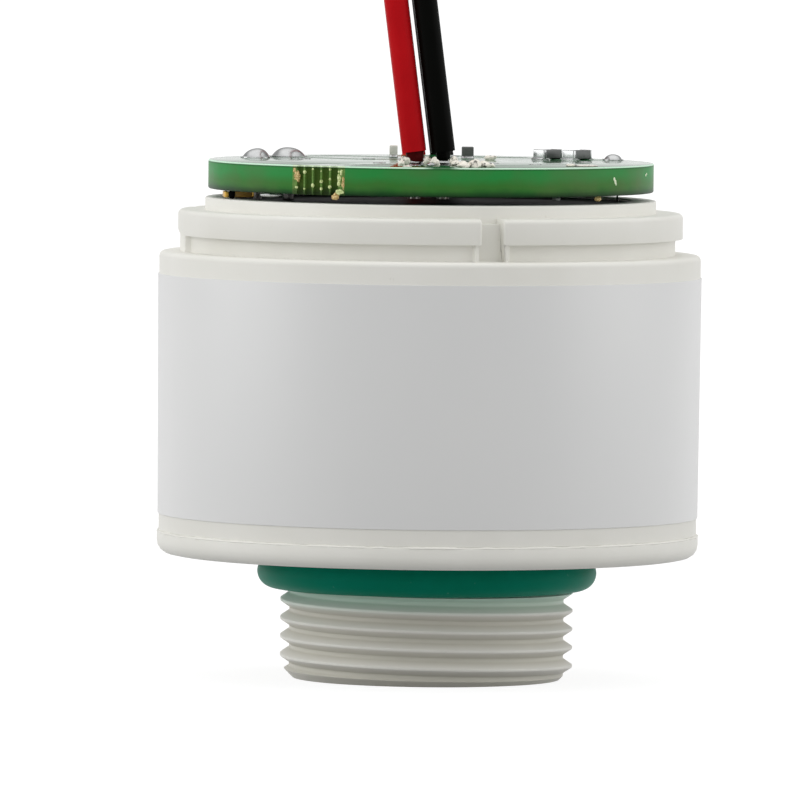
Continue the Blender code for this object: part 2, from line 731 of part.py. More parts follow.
def board_parts(solder, ceramic, thermistor_finish, capacitor_finish):
    """Solder drops, chip resistors, thermistor and capacitors where the board carries them."""
    top = board_top + SEAT_GAP
    socket = LEAD_RADIUS + SEAT_GAP
    reach = LEAD_STICK_OUT + SEAT_GAP
    solder_dome("anode_solder", anode_lead_spot, 0.79 * MM, 0.46 * MM, solder, socket, reach)
    solder_dome("cathode_solder", cathode_lead_spot, 0.93 * MM, 0.53 * MM, solder, socket, reach)
    solder_dome("test_pad_solder", on_board(0.69 * MM, 28.9), 0.5 * MM, 0.3 * MM, solder)
    pair = on_board(3.31 * MM, 43.2)
    neighbour = pair + Vector((1.6 * MM, -0.5 * MM, 0))
    turn = math.radians(50)
    chip("chip_resistor_1", pair, turn, top, CHIP_LENGTH, CHIP_WIDTH, CHIP_HEIGHT, ceramic)
    chip("chip_resistor_2", neighbour, turn, top, CHIP_LENGTH, CHIP_WIDTH, CHIP_HEIGHT, ceramic)
    chip("thermistor", on_board(6.13 * MM, 70.3), math.radians(90), top, SMALL_CHIP_LENGTH, THERMISTOR_WIDTH,
         SMALL_CHIP_HEIGHT, thermistor_finish)
    chip("chip_capacitor", on_board(4.79 * MM, 106.3), math.radians(90), top, SMALL_CHIP_LENGTH,
         SMALL_CHIP_WIDTH, SMALL_CHIP_HEIGHT, capacitor_finish)
    below = board_underside - SEAT_GAP - UNDERSIDE_CHIP_HEIGHT
    chip("underside_capacitor", on_board(0.95 * MM, 201), math.radians(10), below, CHIP_LENGTH, CHIP_WIDTH,
         UNDERSIDE_CHIP_HEIGHT, capacitor_finish)


# Flying leads and their plug

def wire_point(spot, y, z):
    """A point of a lead's route at a depth and a height, in the leaning upright plane that the lead bends in."""
    x = spot.x + WIRE_LEAN * (z - insulation_start) + WIRE_DRIFT * (y - spot.y)
    return Vector((x, y, z))


def wire_route(spot, cavity_x):
    """Up from the board, over in one high bend, down behind the can, back along the table and into the plug."""
    floor = WIRE_DIAMETER / 2 + PLUG_LIFT
    start = insulation_start + SEAT_GAP
    rise = [
        (spot.y, start),
        (spot.y, start + 2.7 * MM),
        (spot.y, start + 6.2 * MM),
        (spot.y + 0.1 * MM, start + 9.7 * MM),
        (spot.y + 1.4 * MM, start + 14.3 * MM),
        (spot.y + 4.9 * MM, start + 18.4 * MM),
        (spot.y + 10.1 * MM, start + 20.4 * MM),
        (spot.y + 15.6 * MM, start + 18.8 * MM),
        (spot.y + 19.7 * MM, start + 14.6 * MM),
        (spot.y + 22.3 * MM, start + 8.9 * MM),
    ]
    back = body_radius + LABEL_THICKNESS + WIRE_DIAMETER
    fall = [
        (back + 0.7 * MM, start + 2.2 * MM),
        (back + 1.0 * MM, start - 4.8 * MM),
        (back + 1.2 * MM, start - 11.8 * MM),
        (back + 1.9 * MM, floor + 10.3 * MM),
        (back + 3.6 * MM, floor + 4.9 * MM),
        (back + 7.6 * MM, floor + 1.2 * MM),
        (back + 13.0 * MM, floor),
        (back + 19.0 * MM, floor),
        (back + 25.0 * MM, floor),
        (back + 31.0 * MM, floor),
    ]
    route = [wire_point(spot, y, z) for y, z in rise + fall]
    route.append(Vector((cavity_x, plug_back() - 3.4 * MM, (floor + cavity_height()) / 2)))
    route.append(Vector((cavity_x, plug_back(), cavity_height())))
    route.append(Vector((cavity_x, plug_back() + WIRE_REACH, cavity_height())))
    return route


def plug_back():
    """Where the leads enter the plug."""
    return body_radius + 41.5 * MM


def cavity_height():
    return PLUG_LIFT + PLUG_HEIGHT / 2


def plug_centre_x():
    """The plug lies where the two leads arrive on the table."""
    middle = (red_wire_spot + black_wire_spot) / 2
    return wire_point(middle, plug_back(), cavity_height()).x


def flying_lead(colour_name, spot, side, insulation, core_finish, solder):
    """One lead: insulation on its route to the plug, bare core through the board and the solder round it."""
    cavity_x = plug_centre_x() + side * CONTACT_SPACING / 2
    points = smooth_route(wire_route(spot, cavity_x), ROUTE_STEP)
    round_rod(colour_name + "_wire", points, WIRE_DIAMETER / 2, insulation)
    core = disc_profile(WIRE_CORE_RADIUS, board_underside - CORE_TAIL, insulation_start)
    made = turned(colour_name + "_wire_core", core, HOLE_FLATS, core_finish)
    made.location = (spot.x, spot.y, 0)
    wire_joint(colour_name + "_solder_joint", spot, solder)
    crimp_contact(colour_name + "_contact", cavity_x, core_finish)


def crimp_contact(name, x, finish):
    """A folded socket contact: open box at the front, flat neck, and wings curled round the insulation."""
    z = cavity_height()
    crimp_start = plug_back() + (WIRE_REACH - CRIMP_LENGTH) / 2
    inner = WIRE_DIAMETER / 2 + SEAT_GAP
    outer = inner + CRIMP_WALL
    wings = turned(
        name + "_wings", disc_profile(outer, 0, CRIMP_LENGTH, inner), 2 * HOLE_FLATS,
        start=math.radians(90) + CRIMP_OPENING / 2, sweep=FULL_TURN - CRIMP_OPENING
    )
    wings.rotation_euler = (math.radians(90), 0, 0)
    wings.location = (x, crimp_start + CRIMP_LENGTH, z)
    socket_start = plug_back() + WIRE_REACH + CRIMP_WALL * 3
    socket_end = socket_start + CONTACT_LENGTH
    base = z - outer + CONTACT_STRIP / 2
    neck_length = socket_start + CRIMP_WALL - crimp_start
    neck_centre = (x, crimp_start + neck_length / 2, base)
    neck = block_group(name + "_neck", [(neck_centre, (CONTACT_WIDTH / 2, neck_length, CONTACT_STRIP))])
    socket = block_group(
        name, [((x, (socket_start + socket_end) / 2, z - outer + CONTACT_WIDTH / 2),
                (CONTACT_WIDTH, CONTACT_LENGTH, CONTACT_WIDTH))], finish
    )
    depth = CONTACT_LENGTH - CRIMP_WALL
    opening = block_group(
        name + "_opening", [((x, socket_end - depth / 2 + CRIMP_WALL, z - outer + CONTACT_WIDTH / 2),
                             (CONTACT_SOCKET, depth + CRIMP_WALL, CONTACT_SOCKET))]
    )
    combine(socket, opening, "DIFFERENCE")
    combine(socket, neck, "UNION")
    combine(socket, wings, "UNION")


def plug_housing(finish):
    """Two-way moulded housing with a cavity for each contact, latch windows above them and two ribs."""
    x = plug_centre_x()
    middle_y = plug_back() + PLUG_LENGTH / 2
    housing = block_group(
        "plug_housing", [((x, middle_y, cavity_height()), (PLUG_WIDTH, PLUG_LENGTH, PLUG_HEIGHT))], finish, PLUG_EDGE
    )
    rib_offset = (PLUG_WIDTH - PLUG_RIB_WIDTH) / 2 - PLUG_EDGE
    rib_bottom = PLUG_LIFT + PLUG_HEIGHT - PLUG_RIB_HEIGHT
    ribs = []
    for side in (-1, 1):
        centre = (x + side * rib_offset, middle_y, rib_bottom + PLUG_RIB_HEIGHT)
        ribs.append((centre, (PLUG_RIB_WIDTH, PLUG_LENGTH - 4 * PLUG_EDGE, 2 * PLUG_RIB_HEIGHT)))
    combine(housing, block_group("rib_adder", ribs), "UNION")
    cavities = []
    windows = []
    for side in (-1, 1):
        cavity_x = x + side * CONTACT_SPACING / 2
        cavities.append(((cavity_x, middle_y, cavity_height()), (CAVITY_WIDTH, 2 * PLUG_LENGTH, CAVITY_HEIGHT)))
        window_z = PLUG_LIFT + PLUG_HEIGHT
        windows.append(((cavity_x, middle_y, window_z), (WINDOW_WIDTH, WINDOW_LENGTH, PLUG_HEIGHT - CAVITY_HEIGHT)))
    combine(housing, block_group("cavity_cutter", cavities), "DIFFERENCE")
    combine(housing, block_group("window_cutter", windows), "DIFFERENCE")


def build():
    clear_scene()
    white_abs = material("white_abs", (0.72, 0.71, 0.66), 0.45)
    label_paper = material("label_paper", (0.78, 0.78, 0.78), 0.6)
    green_rubber = material("green_rubber", (0.01, 0.11, 0.07), 0.5)
    porous_ptfe = material("porous_ptfe", (0.85, 0.85, 0.83), 0.8)
    dark_rubber = material("dark_rubber", (0.02, 0.02, 0.02), 0.6)
    clear_film = material("clear_film", (0.8, 0.82, 0.84), 0.3)
    gold_plate = material("gold_plate", (0.8, 0.55, 0.2), 0.25, 1.0)
    glass_paper = material("glass_paper", (0.75, 0.75, 0.72), 0.9)
    rolled_lead = material("rolled_lead", (0.2, 0.21, 0.23), 0.6, 1.0)
    titanium = material("titanium", (0.45, 0.44, 0.43), 0.35, 1.0)
    black_epoxy = material("black_epoxy", (0.01, 0.01, 0.01), 0.3)
    board_green = material("board_green", (0.02, 0.22, 0.06), 0.4)
    solder = material("solder", (0.7, 0.7, 0.7), 0.25, 1.0)
    grey_ceramic = material("grey_ceramic", (0.2, 0.2, 0.2), 0.5)
    black_ceramic = material("black_ceramic", (0.03, 0.03, 0.03), 0.5)
    tan_ceramic = material("tan_ceramic", (0.3, 0.18, 0.08), 0.5)
    red_pvc = material("red_pvc", (0.35, 0.006, 0.008), 0.4)
    black_pvc = material("black_pvc", (0.006, 0.006, 0.006), 0.4)
    tinned_copper = material("tinned_copper", (0.65, 0.63, 0.6), 0.3, 1.0)
    white_nylon = material("white_nylon", (0.78, 0.77, 0.72), 0.5)

    front_cap(white_abs)
    nose_o_ring(green_rubber)
    gas_inlet(porous_ptfe, white_abs)
    sensor_body(white_abs)
    blank_label(label_paper)
    membrane_stack(dark_rubber, clear_film, gold_plate)
    cathode_support(white_abs)
    separator(glass_paper)
    lead_anode(rolled_lead)
    electrode_leads(titanium)
    rear_potting(black_epoxy)
    circuit_board(board_green)
    board_parts(solder, grey_ceramic, black_ceramic, tan_ceramic)
    flying_lead("red", red_wire_spot, -1, red_pvc, tinned_copper, solder)
    flying_lead("black", black_wire_spot, 1, black_pvc, tinned_copper, solder)
    plug_housing(white_nylon)


build()
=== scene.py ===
import math
from functools import partial

import bmesh
import bpy
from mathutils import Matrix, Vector, noise

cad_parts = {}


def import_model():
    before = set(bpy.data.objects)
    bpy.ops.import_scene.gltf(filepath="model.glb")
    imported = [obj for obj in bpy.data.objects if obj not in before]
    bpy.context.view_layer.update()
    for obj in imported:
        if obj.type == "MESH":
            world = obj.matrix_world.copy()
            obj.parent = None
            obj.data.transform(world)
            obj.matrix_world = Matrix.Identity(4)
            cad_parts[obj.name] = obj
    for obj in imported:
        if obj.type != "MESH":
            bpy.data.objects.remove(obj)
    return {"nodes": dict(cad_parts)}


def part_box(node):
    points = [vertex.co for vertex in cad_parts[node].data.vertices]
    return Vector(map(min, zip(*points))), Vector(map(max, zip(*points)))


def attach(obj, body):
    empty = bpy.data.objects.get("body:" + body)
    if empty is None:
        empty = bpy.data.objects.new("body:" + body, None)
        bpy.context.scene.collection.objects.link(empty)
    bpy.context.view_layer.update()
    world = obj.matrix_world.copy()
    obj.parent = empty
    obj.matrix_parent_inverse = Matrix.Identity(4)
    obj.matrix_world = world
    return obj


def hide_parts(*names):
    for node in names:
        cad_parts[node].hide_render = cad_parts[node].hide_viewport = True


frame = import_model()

MM = 0.001
FULL_TURN = 2 * math.pi
FRONT = math.radians(-90)
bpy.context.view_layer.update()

# Camera
LENS = 564.06
CAMERA_PLACE = Vector((-1.9, -680, 48.1)) * MM
LOOK_DOWN = math.radians(2.778)
CAMERA_ROLL = math.radians(-0.6)

# How finely round pieces are spun
CAN_STEPS = 256
NOSE_STEPS = 192
THREAD_STEPS = 144
SMALL_STEPS = 48

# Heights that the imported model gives
ring_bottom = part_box("nose_o_ring")[0].z
rim_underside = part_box("nose_o_ring")[1].z + 0.03 * MM
weld_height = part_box("sensor_body")[0].z - 0.03 * MM
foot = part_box("sensor_body")[0].z
cap_floor = rim_underside + 1.5 * MM
collar_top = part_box("sensor_body")[1].z
shoulder = collar_top - 2.95 * MM
cap_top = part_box("front_cap")[1].z
potting_base, potting_top = (corner.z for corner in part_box("rear_potting"))
label_base, label_top = (corner.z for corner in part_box("blank_label"))
board_base, board_top = (corner.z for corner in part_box("circuit_board"))
insulation_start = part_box("red_wire_core")[1].z

# Radii of the can and of what stands on it
CAN_RADIUS = 14.7 * MM
FOOT_RADIUS = 14.6 * MM
CAVITY_RADIUS = 13.2 * MM
COLLAR_RADIUS = 12.24 * MM
COLLAR_BORE = 10.9 * MM
BOARD_RADIUS = 12.085 * MM

# Snap ring
RING_RADIUS = 13.7 * MM
POST_RADIUS = 13.58 * MM
UNDERCUT_RADIUS = 13.3 * MM
UNDERCUT_HEIGHT = 0.9 * MM
RING_HEIGHT = 2.27 * MM
POST_WIDTH = 0.34 * MM
STOP_WIDTH = 6.3 * MM
SLOT_WIDTH = 1.2 * MM
SLOT_COUNT = 3
FIRST_SLOT = FRONT + math.radians(14)
SLOT_BACK_RADIUS = 12.87 * MM
SLOT_BACK_HEIGHT = 2.0 * MM
LABEL_THICKNESS = 0.05 * MM

# Threaded nose, M16 x 1
THREAD_RADIUS = 7.95 * MM
THREAD_ROOT = 7.45 * MM
THREAD_PITCH = 1.0 * MM
THREAD_LENGTH = 5.0 * MM
THREAD_RUN_OUT = 0.25 * MM
RELIEF_RADIUS = 7.39 * MM
NOSE_TIP_RADIUS = 7.25 * MM
NOSE_TAPER = 0.7 * MM

# Bores of the cap: gas inlet with its filter seat, electrode well and spigot
INLET_RADIUS = 5.6 * MM
GAS_BORE = 4.2 * MM
FILTER_SEAT = 1.9 * MM
WELL_RADIUS = 5.75 * MM
WELL_FLOOR = 2.7 * MM
SPIGOT_RADIUS = CAVITY_RADIUS - 0.03 * MM
SPIGOT_BORE = 11.97 * MM

# Board outline
BITE_COUNT = 5
BITE_RADIUS = 0.22 * MM
BITE_SPACING = 0.53 * MM
BITE_ANGLE = FRONT - math.radians(30.5)

# Flying leads
WIRE_DIAMETER = 1.3 * MM
WIRE_LEAN = -0.13
WIRE_DRIFT = -0.004
PLUG_LIFT = 0.02 * MM
PLUG_HEIGHT = 5.0 * MM
PLUG_BACK = CAN_RADIUS + 41.5 * MM
CONTACT_SPACING = 2.5 * MM
WIRE_REACH = 1.9 * MM
RED_SPOT = Vector((-0.925, -7.055, 0)) * MM
BLACK_SPOT = Vector((0.625, -7.055, 0)) * MM


# Camera, at the photograph's height and distance

def place_camera():
    data = bpy.data.cameras.new("camera")
    data.lens = LENS
    data.sensor_width = 36
    data.clip_start = 0.05
    data.clip_end = 20
    camera = bpy.data.objects.new("camera", data)
    bpy.context.scene.collection.objects.link(camera)
    camera.location = CAMERA_PLACE
    camera.rotation_euler = (math.radians(90) - LOOK_DOWN, CAMERA_ROLL, 0)
    bpy.context.scene.camera = camera


# Nodes and colours

def linear(hex_colour):
    """Linear colour from an sRGB hex value."""
    channels = [int(hex_colour[at:at + 2], 16) / 255 for at in (0, 2, 4)]
    return (*[c / 12.92 if c <= 0.04045 else ((c + 0.055) / 1.055) ** 2.4 for c in channels], 1.0)


def outcome(node):
    """The first output that a node has in use."""
    return next(socket for socket in node.outputs if socket.enabled)


def add_node(tree, kind, inputs=None, **settings):
    """A shader node of a kind with its settings, and its inputs set, or linked to a node or one of its outputs."""
    node = tree.nodes.new("ShaderNode" + kind)
    for setting, value in settings.items():
        setattr(node, setting, value)
    for socket, value in (inputs or {}).items():
        if isinstance(value, bpy.types.Node):
            value = outcome(value)
        if isinstance(value, bpy.types.NodeSocket):
            tree.links.new(value, node.inputs[socket])
        else:
            node.inputs[socket].default_value = value
    return node


def per_mm(size):
    """Texture scale that gives features of a size in millimetres."""
    return 1 / (size * MM)


def new_finish(name, **fixed):
    """An empty finish: the material, what adds its nodes, and the piece's own coordinates."""
    made = bpy.data.materials.new(name)
    made.use_nodes = True
    tree = made.node_tree
    shader = tree.nodes["Principled BSDF"]
    for socket, value in fixed.items():
        shader.inputs[socket.replace("_", " ")].default_value = value
    return made, partial(add_node, tree), add_node(tree, "TexCoord").outputs["Object"]


def surface(made, colour, rough, bump):
    """Give a finish its colour, its roughness, which is a number or a pattern, and its bump."""
    tree = made.node_tree
    inputs = tree.nodes["Principled BSDF"].inputs
    tree.links.new(outcome(colour), inputs["Base Color"])
    tree.links.new(outcome(bump), inputs["Normal"])
    if isinstance(rough, float):
        inputs["Roughness"].default_value = rough
    else:
        tree.links.new(outcome(rough), inputs["Roughness"])
    return made


# Materials

def moulded_abs(name, threaded=False):
    """Injection-moulded ABS: warm white, satin, with flow clouds, mould grain and specks; on the thread below the
    rim, painted shade in the roots and a painted green reflection of the O-ring just under it.
    """
    made, add, place = new_finish(name, Specular_IOR_Level=0.35)
    clouds = add("TexNoise", {"Vector": place, "Scale": per_mm(5), "Detail": 4})
    tone = add("Mix", {0: clouds, 6: linear("E0DFD7"), 7: linear("EDECE7")}, data_type="RGBA")
    specks = add("TexNoise", {"Vector": place, "Scale": per_mm(0.35), "Detail": 1})
    speck = add("MapRange", {"Value": specks, "From Min": 0.78, "From Max": 0.84, "To Min": 0,
                             "To Max": 0.15})
    dirt_and_painted_shade = add("Mix", {0: speck, 6: tone, 7: linear("B7B3A6")}, data_type="RGBA")
    if threaded:
        lift = add("SeparateXYZ", {0: place})
        flat = add("Mapping", {"Vector": place, "Scale": (1, 1, 0)})
        reach = add("VectorMath", {0: flat}, operation="LENGTH")
        # Painted shade: the thread's roots are coloured darker than its crests.
        crest = add("MapRange", {"Value": reach, "From Min": 7.5 * MM, "From Max": 7.92 * MM})
        thread_painted_root_shade = add("Mix", {0: crest, 6: linear("CDCBC0"), 7: linear("EEECE5")}, data_type="RGBA")
        # Painted reflection: a pale green tint from the O-ring, strongest just under it.
        painted_reflection_share = add("MapRange", {"Value": lift.outputs[2], "From Min": ring_bottom - 1.1 * MM,
                                  "From Max": ring_bottom - 0.2 * MM, "To Max": 0.7})
        stain_and_painted_reflection = add("Mix", {0: painted_reflection_share, 6: thread_painted_root_shade, 7: linear("C2E6D6")}, data_type="RGBA")
        below = add("MapRange", {"Value": lift.outputs[2], "From Min": rim_underside - 0.3 * MM,
                                 "From Max": rim_underside - 0.1 * MM, "To Min": 1.0, "To Max": 0.0})
        dirt_and_painted_shade = add("Mix", {0: below, 6: dirt_and_painted_shade, 7: stain_and_painted_reflection}, data_type="RGBA")
    grain = add("TexNoise", {"Vector": place, "Scale": per_mm(0.12), "Detail": 4})
    rough = add("MapRange", {"Value": clouds, "To Min": 0.4, "To Max": 0.55})
    bump = add("Bump", {"Strength": 0.25, "Distance": 0.006 * MM, "Height": grain})
    return surface(made, dirt_and_painted_shade, rough, bump)


def label_film():
    """Blank satin label film: cool white, smooth, with a soft orange-peel from the glue under it."""
    made, add, place = new_finish("satin_label_film", Specular_IOR_Level=0.6, Sheen_Weight=1.0,
                                  Sheen_Roughness=0.5, Coat_Weight=0.6, Coat_Roughness=0.38)
    peel = add("TexNoise", {"Vector": place, "Scale": per_mm(0.9), "Detail": 2})
    clouds = add("TexNoise", {"Vector": place, "Scale": per_mm(9), "Detail": 2})
    tone = add("Mix", {0: clouds, 6: linear("D5D6D6"), 7: linear("DBDBDA")}, data_type="RGBA")
    fibre = add("TexNoise", {"Vector": place, "Scale": per_mm(0.08), "Detail": 3})
    height = add("Mix", {0: 0.15, 2: peel, 3: fibre})
    rough = add("MapRange", {"Value": peel, "To Min": 0.36, "To Max": 0.46})
    bump = add("Bump", {"Strength": 0.2, "Distance": 0.012 * MM, "Height": height})
    return surface(made, tone, rough, bump)


def green_o_ring_rubber():
    """Moulded green fluoroelastomer: deep green with a waxy bloom, a fine mould texture and a little lint."""
    made, add, place = new_finish("moulded_green_rubber", Specular_IOR_Level=0.08,
                                  Specular_Tint=(0.3, 0.75, 0.62, 1))
    bloom = add("TexNoise", {"Vector": place, "Scale": per_mm(2.2), "Detail": 4})
    tone = add("Mix", {0: bloom, 6: linear("007257"), 7: linear("07806A")}, data_type="RGBA")
    lint = add("TexNoise", {"Vector": place, "Scale": per_mm(0.25), "Detail": 1})
    dust = add("MapRange", {"Value": lint, "From Min": 0.74, "From Max": 0.82, "To Min": 0, "To Max": 0.2})
    colour = add("Mix", {0: dust, 6: tone, 7: linear("6FA58F")}, data_type="RGBA")
    rough = add("MapRange", {"Value": bloom, "To Min": 0.38, "To Max": 0.55})
    grain = add("TexNoise", {"Vector": place, "Scale": per_mm(0.1), "Detail": 3})
    bump = add("Bump", {"Strength": 0.3, "Distance": 0.008 * MM, "Height": grain})
    return surface(made, colour, rough, bump)


def solder_mask():
    """Cured solder mask over laminate: deep green and glossy, a mirror at a low angle."""
    made, add, place = new_finish("cured_green_solder_mask", IOR=1.55)
    weave = add("TexNoise", {"Vector": place, "Scale": per_mm(1.1), "Detail": 4})
    tone = add("Mix", {0: weave, 6: linear("17522B"), 7: linear("2A7440")}, data_type="RGBA")
    haze = add("TexNoise", {"Vector": place, "Scale": per_mm(0.6), "Detail": 5})
    rough = add("MapRange", {"Value": haze, "To Min": 0.02, "To Max": 0.16})
    bump = add("Bump", {"Strength": 0.1, "Distance": 0.01 * MM, "Height": weave})
    return surface(made, tone, rough, bump)


def routed_laminate():
    """Routed edge of glass laminate: green, brown stains, painted shade that darkens it toward the bottom into a
    near-black foot, a painted shadow line under the top edge, and a painted highlight along the top edge, fainter
    near the leads.
    """
    made, add, place = new_finish("routed_green_laminate", Specular_IOR_Level=0.12)
    lift = add("SeparateXYZ", {0: place})
    clouds = add("TexNoise", {"Vector": place, "Scale": per_mm(1.6), "Detail": 5})
    sway = add("Math", {0: clouds, 1: 0.6 * MM, 2: lift.outputs[2]}, operation="MULTIPLY_ADD")
    # Painted shade: the edge is coloured darker toward the bottom, in a wavy band.
    painted_low_shade_share = add("MapRange", {"Value": sway, "From Min": board_base + 0.35 * MM,
                                  "From Max": board_base + 0.8 * MM})
    head_share = add("MapRange", {"Value": sway, "From Min": board_base + 0.9 * MM,
                                  "From Max": board_base + 1.35 * MM})
    low = add("Mix", {0: painted_low_shade_share, 6: linear("124A1D"), 7: linear("35742D")}, data_type="RGBA")
    body = add("Mix", {0: head_share, 6: low, 7: linear("28893F")}, data_type="RGBA")
    # Painted shadow: a dark line just under the top edge.
    line = add("MapRange", {"Value": lift.outputs[2], "From Min": board_top - 0.2 * MM,
                            "From Max": board_top - 0.08 * MM, "To Max": 0.75})
    stain = add("TexNoise", {"Vector": place, "Scale": per_mm(3.5), "Detail": 4})
    browned = add("MapRange", {"Value": stain, "From Min": 0.48, "From Max": 0.7, "To Max": 0.4})
    stain_and_painted_reflection = add("Mix", {0: browned, 6: body, 7: linear("5C6640")}, data_type="RGBA")
    # Painted shade: the lowest 0.3 mm darkens to near black.
    shade = add("MapRange", {"Value": lift.outputs[2], "From Min": board_base,
                             "From Max": board_base + 0.3 * MM, "To Min": 0.8, "To Max": 0})
    foot = add("Mix", {0: shade, 6: stain_and_painted_reflection, 7: linear("06230C")}, data_type="RGBA")
    painted_top_shadow = add("Mix", {0: line, 6: foot, 7: linear("0C4A1E")}, data_type="RGBA")
    # Painted highlight: a pale line on the rounded top edge, fainter near the leads.
    painted_edge_highlight = add("MapRange", {"Value": lift.outputs[2], "From Min": board_top - 0.09 * MM,
                            "From Max": board_top - 0.07 * MM})
    aside = add("Math", {0: lift, 1: 0.55 * MM}, operation="SUBTRACT")
    apart = add("Math", {0: aside}, operation="ABSOLUTE")
    kept = add("MapRange", {"Value": apart, "From Min": 0.4 * MM, "From Max": 1.0 * MM, "To Min": 0.1})
    left = add("Math", {0: painted_edge_highlight, 1: kept}, operation="MULTIPLY")
    tone = add("Mix", {0: left, 6: painted_top_shadow, 7: linear("D2F2DA")}, data_type="RGBA")
    plies = add("TexWave", {"Vector": place, "Scale": per_mm(0.2) / 20, "Distortion": 3.0, "Detail": 3,
                            "Detail Scale": 0.6}, bands_direction="Z")
    rough = add("MapRange", {"Value": clouds, "To Min": 0.3, "To Max": 0.5})
    bump = add("Bump", {"Strength": 0.25, "Distance": 0.01 * MM, "Height": plies.outputs[1]})
    return surface(made, tone, rough, bump)


def torn_laminate():
    """Glass laminate broken along drilled holes: dark green hollows, pale ridges, painted shade that darkens the
    foot, a painted shadow line under the top edge and a painted highlight along the top edge.
    """
    made, add, place = new_finish("torn_green_laminate", Specular_IOR_Level=0.2)
    lift = add("SeparateXYZ", {0: place})
    flat = add("Mapping", {"Vector": place, "Scale": (1, 1, 0)})
    reach = add("VectorMath", {0: flat}, operation="LENGTH")
    resin = add("TexNoise", {"Vector": place, "Scale": per_mm(0.5), "Detail": 5})
    hollow = add("Mix", {0: resin, 6: linear("14440A"), 7: linear("4E6416")}, data_type="RGBA")
    strands = add("TexNoise", {"Vector": place, "Scale": per_mm(0.14), "Detail": 3})
    out = add("MapRange", {"Value": reach, "From Min": BOARD_RADIUS - 0.13 * MM,
                           "From Max": BOARD_RADIUS - 0.01 * MM})
    ridge = add("Math", {0: out, 1: strands}, operation="MULTIPLY")
    tone = add("Mix", {0: ridge, 6: hollow, 7: linear("7FA858")}, data_type="RGBA")
    # Painted shade: the lowest half millimetre darkens to near black.
    shade = add("MapRange", {"Value": lift.outputs[2], "From Min": board_base + 0.12 * MM,
                             "From Max": board_base + 0.5 * MM, "To Min": 0.75, "To Max": 0})
    foot = add("Mix", {0: shade, 6: tone, 7: linear("0A1E08")}, data_type="RGBA")
    # Painted shadow: a dark line just under the top edge.
    line = add("MapRange", {"Value": lift.outputs[2], "From Min": board_top - 0.25 * MM,
                            "From Max": board_top - 0.1 * MM, "To Max": 0.7})
    painted_top_shadow = add("Mix", {0: line, 6: foot, 7: linear("12380C")}, data_type="RGBA")
    # Painted highlight: a pale line on the top edge.
    painted_edge_highlight = add("MapRange", {"Value": lift.outputs[2], "From Min": board_top - 0.09 * MM,
                            "From Max": board_top - 0.07 * MM})
    top = add("Mix", {0: painted_edge_highlight, 6: painted_top_shadow, 7: linear("DDF0CE")}, data_type="RGBA")
    bump = add("Bump", {"Strength": 0.7, "Distance": 0.03 * MM, "Height": strands})
    return surface(made, top, 0.6, bump)


def frayed_glass(name, light, dark):
    """Frayed ends of glass bundles soaked in resin: bright, grainy, with darker resin between the fibres."""
    made, add, place = new_finish(name)
    fibres = add("TexNoise", {"Vector": place, "Scale": per_mm(0.08), "Detail": 4})
    share = add("MapRange", {"Value": fibres, "From Min": 0.35, "From Max": 0.6})
    tone = add("Mix", {0: share, 6: linear(dark), 7: linear(light)}, data_type="RGBA")
    bump = add("Bump", {"Strength": 0.6, "Distance": 0.02 * MM, "Height": fibres})
    return surface(made, tone, 0.5, bump)


def reflowed_solder():
    """Tin solder that has flowed and set: bright grey metal with soft frosted patches and shrink ripples."""
    made, add, place = new_finish("reflowed_tin_solder", Metallic=1.0)
    frost = add("TexNoise", {"Vector": place, "Scale": per_mm(0.35), "Detail": 5})
    tone = add("Mix", {0: frost, 6: linear("A9ABAC"), 7: linear("D2D3D2")}, data_type="RGBA")
    rough = add("MapRange", {"Value": frost, "To Min": 0.12, "To Max": 0.42})
    bump = add("Bump", {"Strength": 0.15, "Distance": 0.01 * MM, "Height": frost})
    return surface(made, tone, rough, bump)


def tinned_copper():
    """Tinned copper: pale metal with drawn streaks and warm copper showing through in spots."""
    made, add, place = new_finish("tinned_copper", Metallic=1.0)
    stretched = add("Mapping", {"Vector": place, "Scale": (1, 1, 0.2)})
    streaks = add("TexNoise", {"Vector": stretched, "Scale": per_mm(0.15), "Detail": 4})
    worn = add("MapRange", {"Value": streaks, "From Min": 0.6, "From Max": 0.75, "To Min": 0, "To Max": 0.5})
    tone = add("Mix", {0: worn, 6: linear("C4C1BA"), 7: linear("C28B63")}, data_type="RGBA")
    rough = add("MapRange", {"Value": streaks, "To Min": 0.2, "To Max": 0.45})
    bump = add("Bump", {"Strength": 0.3, "Distance": 0.006 * MM, "Height": streaks})
    return surface(made, tone, rough, bump)


def dried_flux():
    """Flux left round hand soldering: glassy cream lumps with burnt brown and black specks."""
    made, add, place = new_finish("dried_cream_flux", IOR=1.53, Coat_Weight=0.4, Coat_Roughness=0.1)
    burnt = add("TexNoise", {"Vector": place, "Scale": per_mm(0.28), "Detail": 4})
    amount = add("MapRange", {"Value": burnt, "From Min": 0.53, "From Max": 0.64, "To Min": 0, "To Max": 0.9})
    tone = add("Mix", {0: amount, 6: linear("F4EFE2"), 7: linear("2E241C")}, data_type="RGBA")
    rough = add("MapRange", {"Value": burnt, "To Min": 0.15, "To Max": 0.5})
    bump = add("Bump", {"Strength": 0.5, "Distance": 0.02 * MM, "Height": burnt})
    return surface(made, tone, rough, bump)


def fired_ceramic(name, light, dark, roughness):
    """Fired ceramic or glass body of a chip part: even colour with a fine powdery grain."""
    made, add, place = new_finish(name, IOR=1.6)
    grain = add("TexNoise", {"Vector": place, "Scale": per_mm(0.06), "Detail": 4})
    tone = add("Mix", {0: grain, 6: linear(dark), 7: linear(light)}, data_type="RGBA")
    rough = add("MapRange", {"Value": grain, "To Min": roughness - 0.1, "To Max": roughness + 0.1})
    bump = add("Bump", {"Strength": 0.4, "Distance": 0.004 * MM, "Height": grain})
    return surface(made, tone, rough, bump)


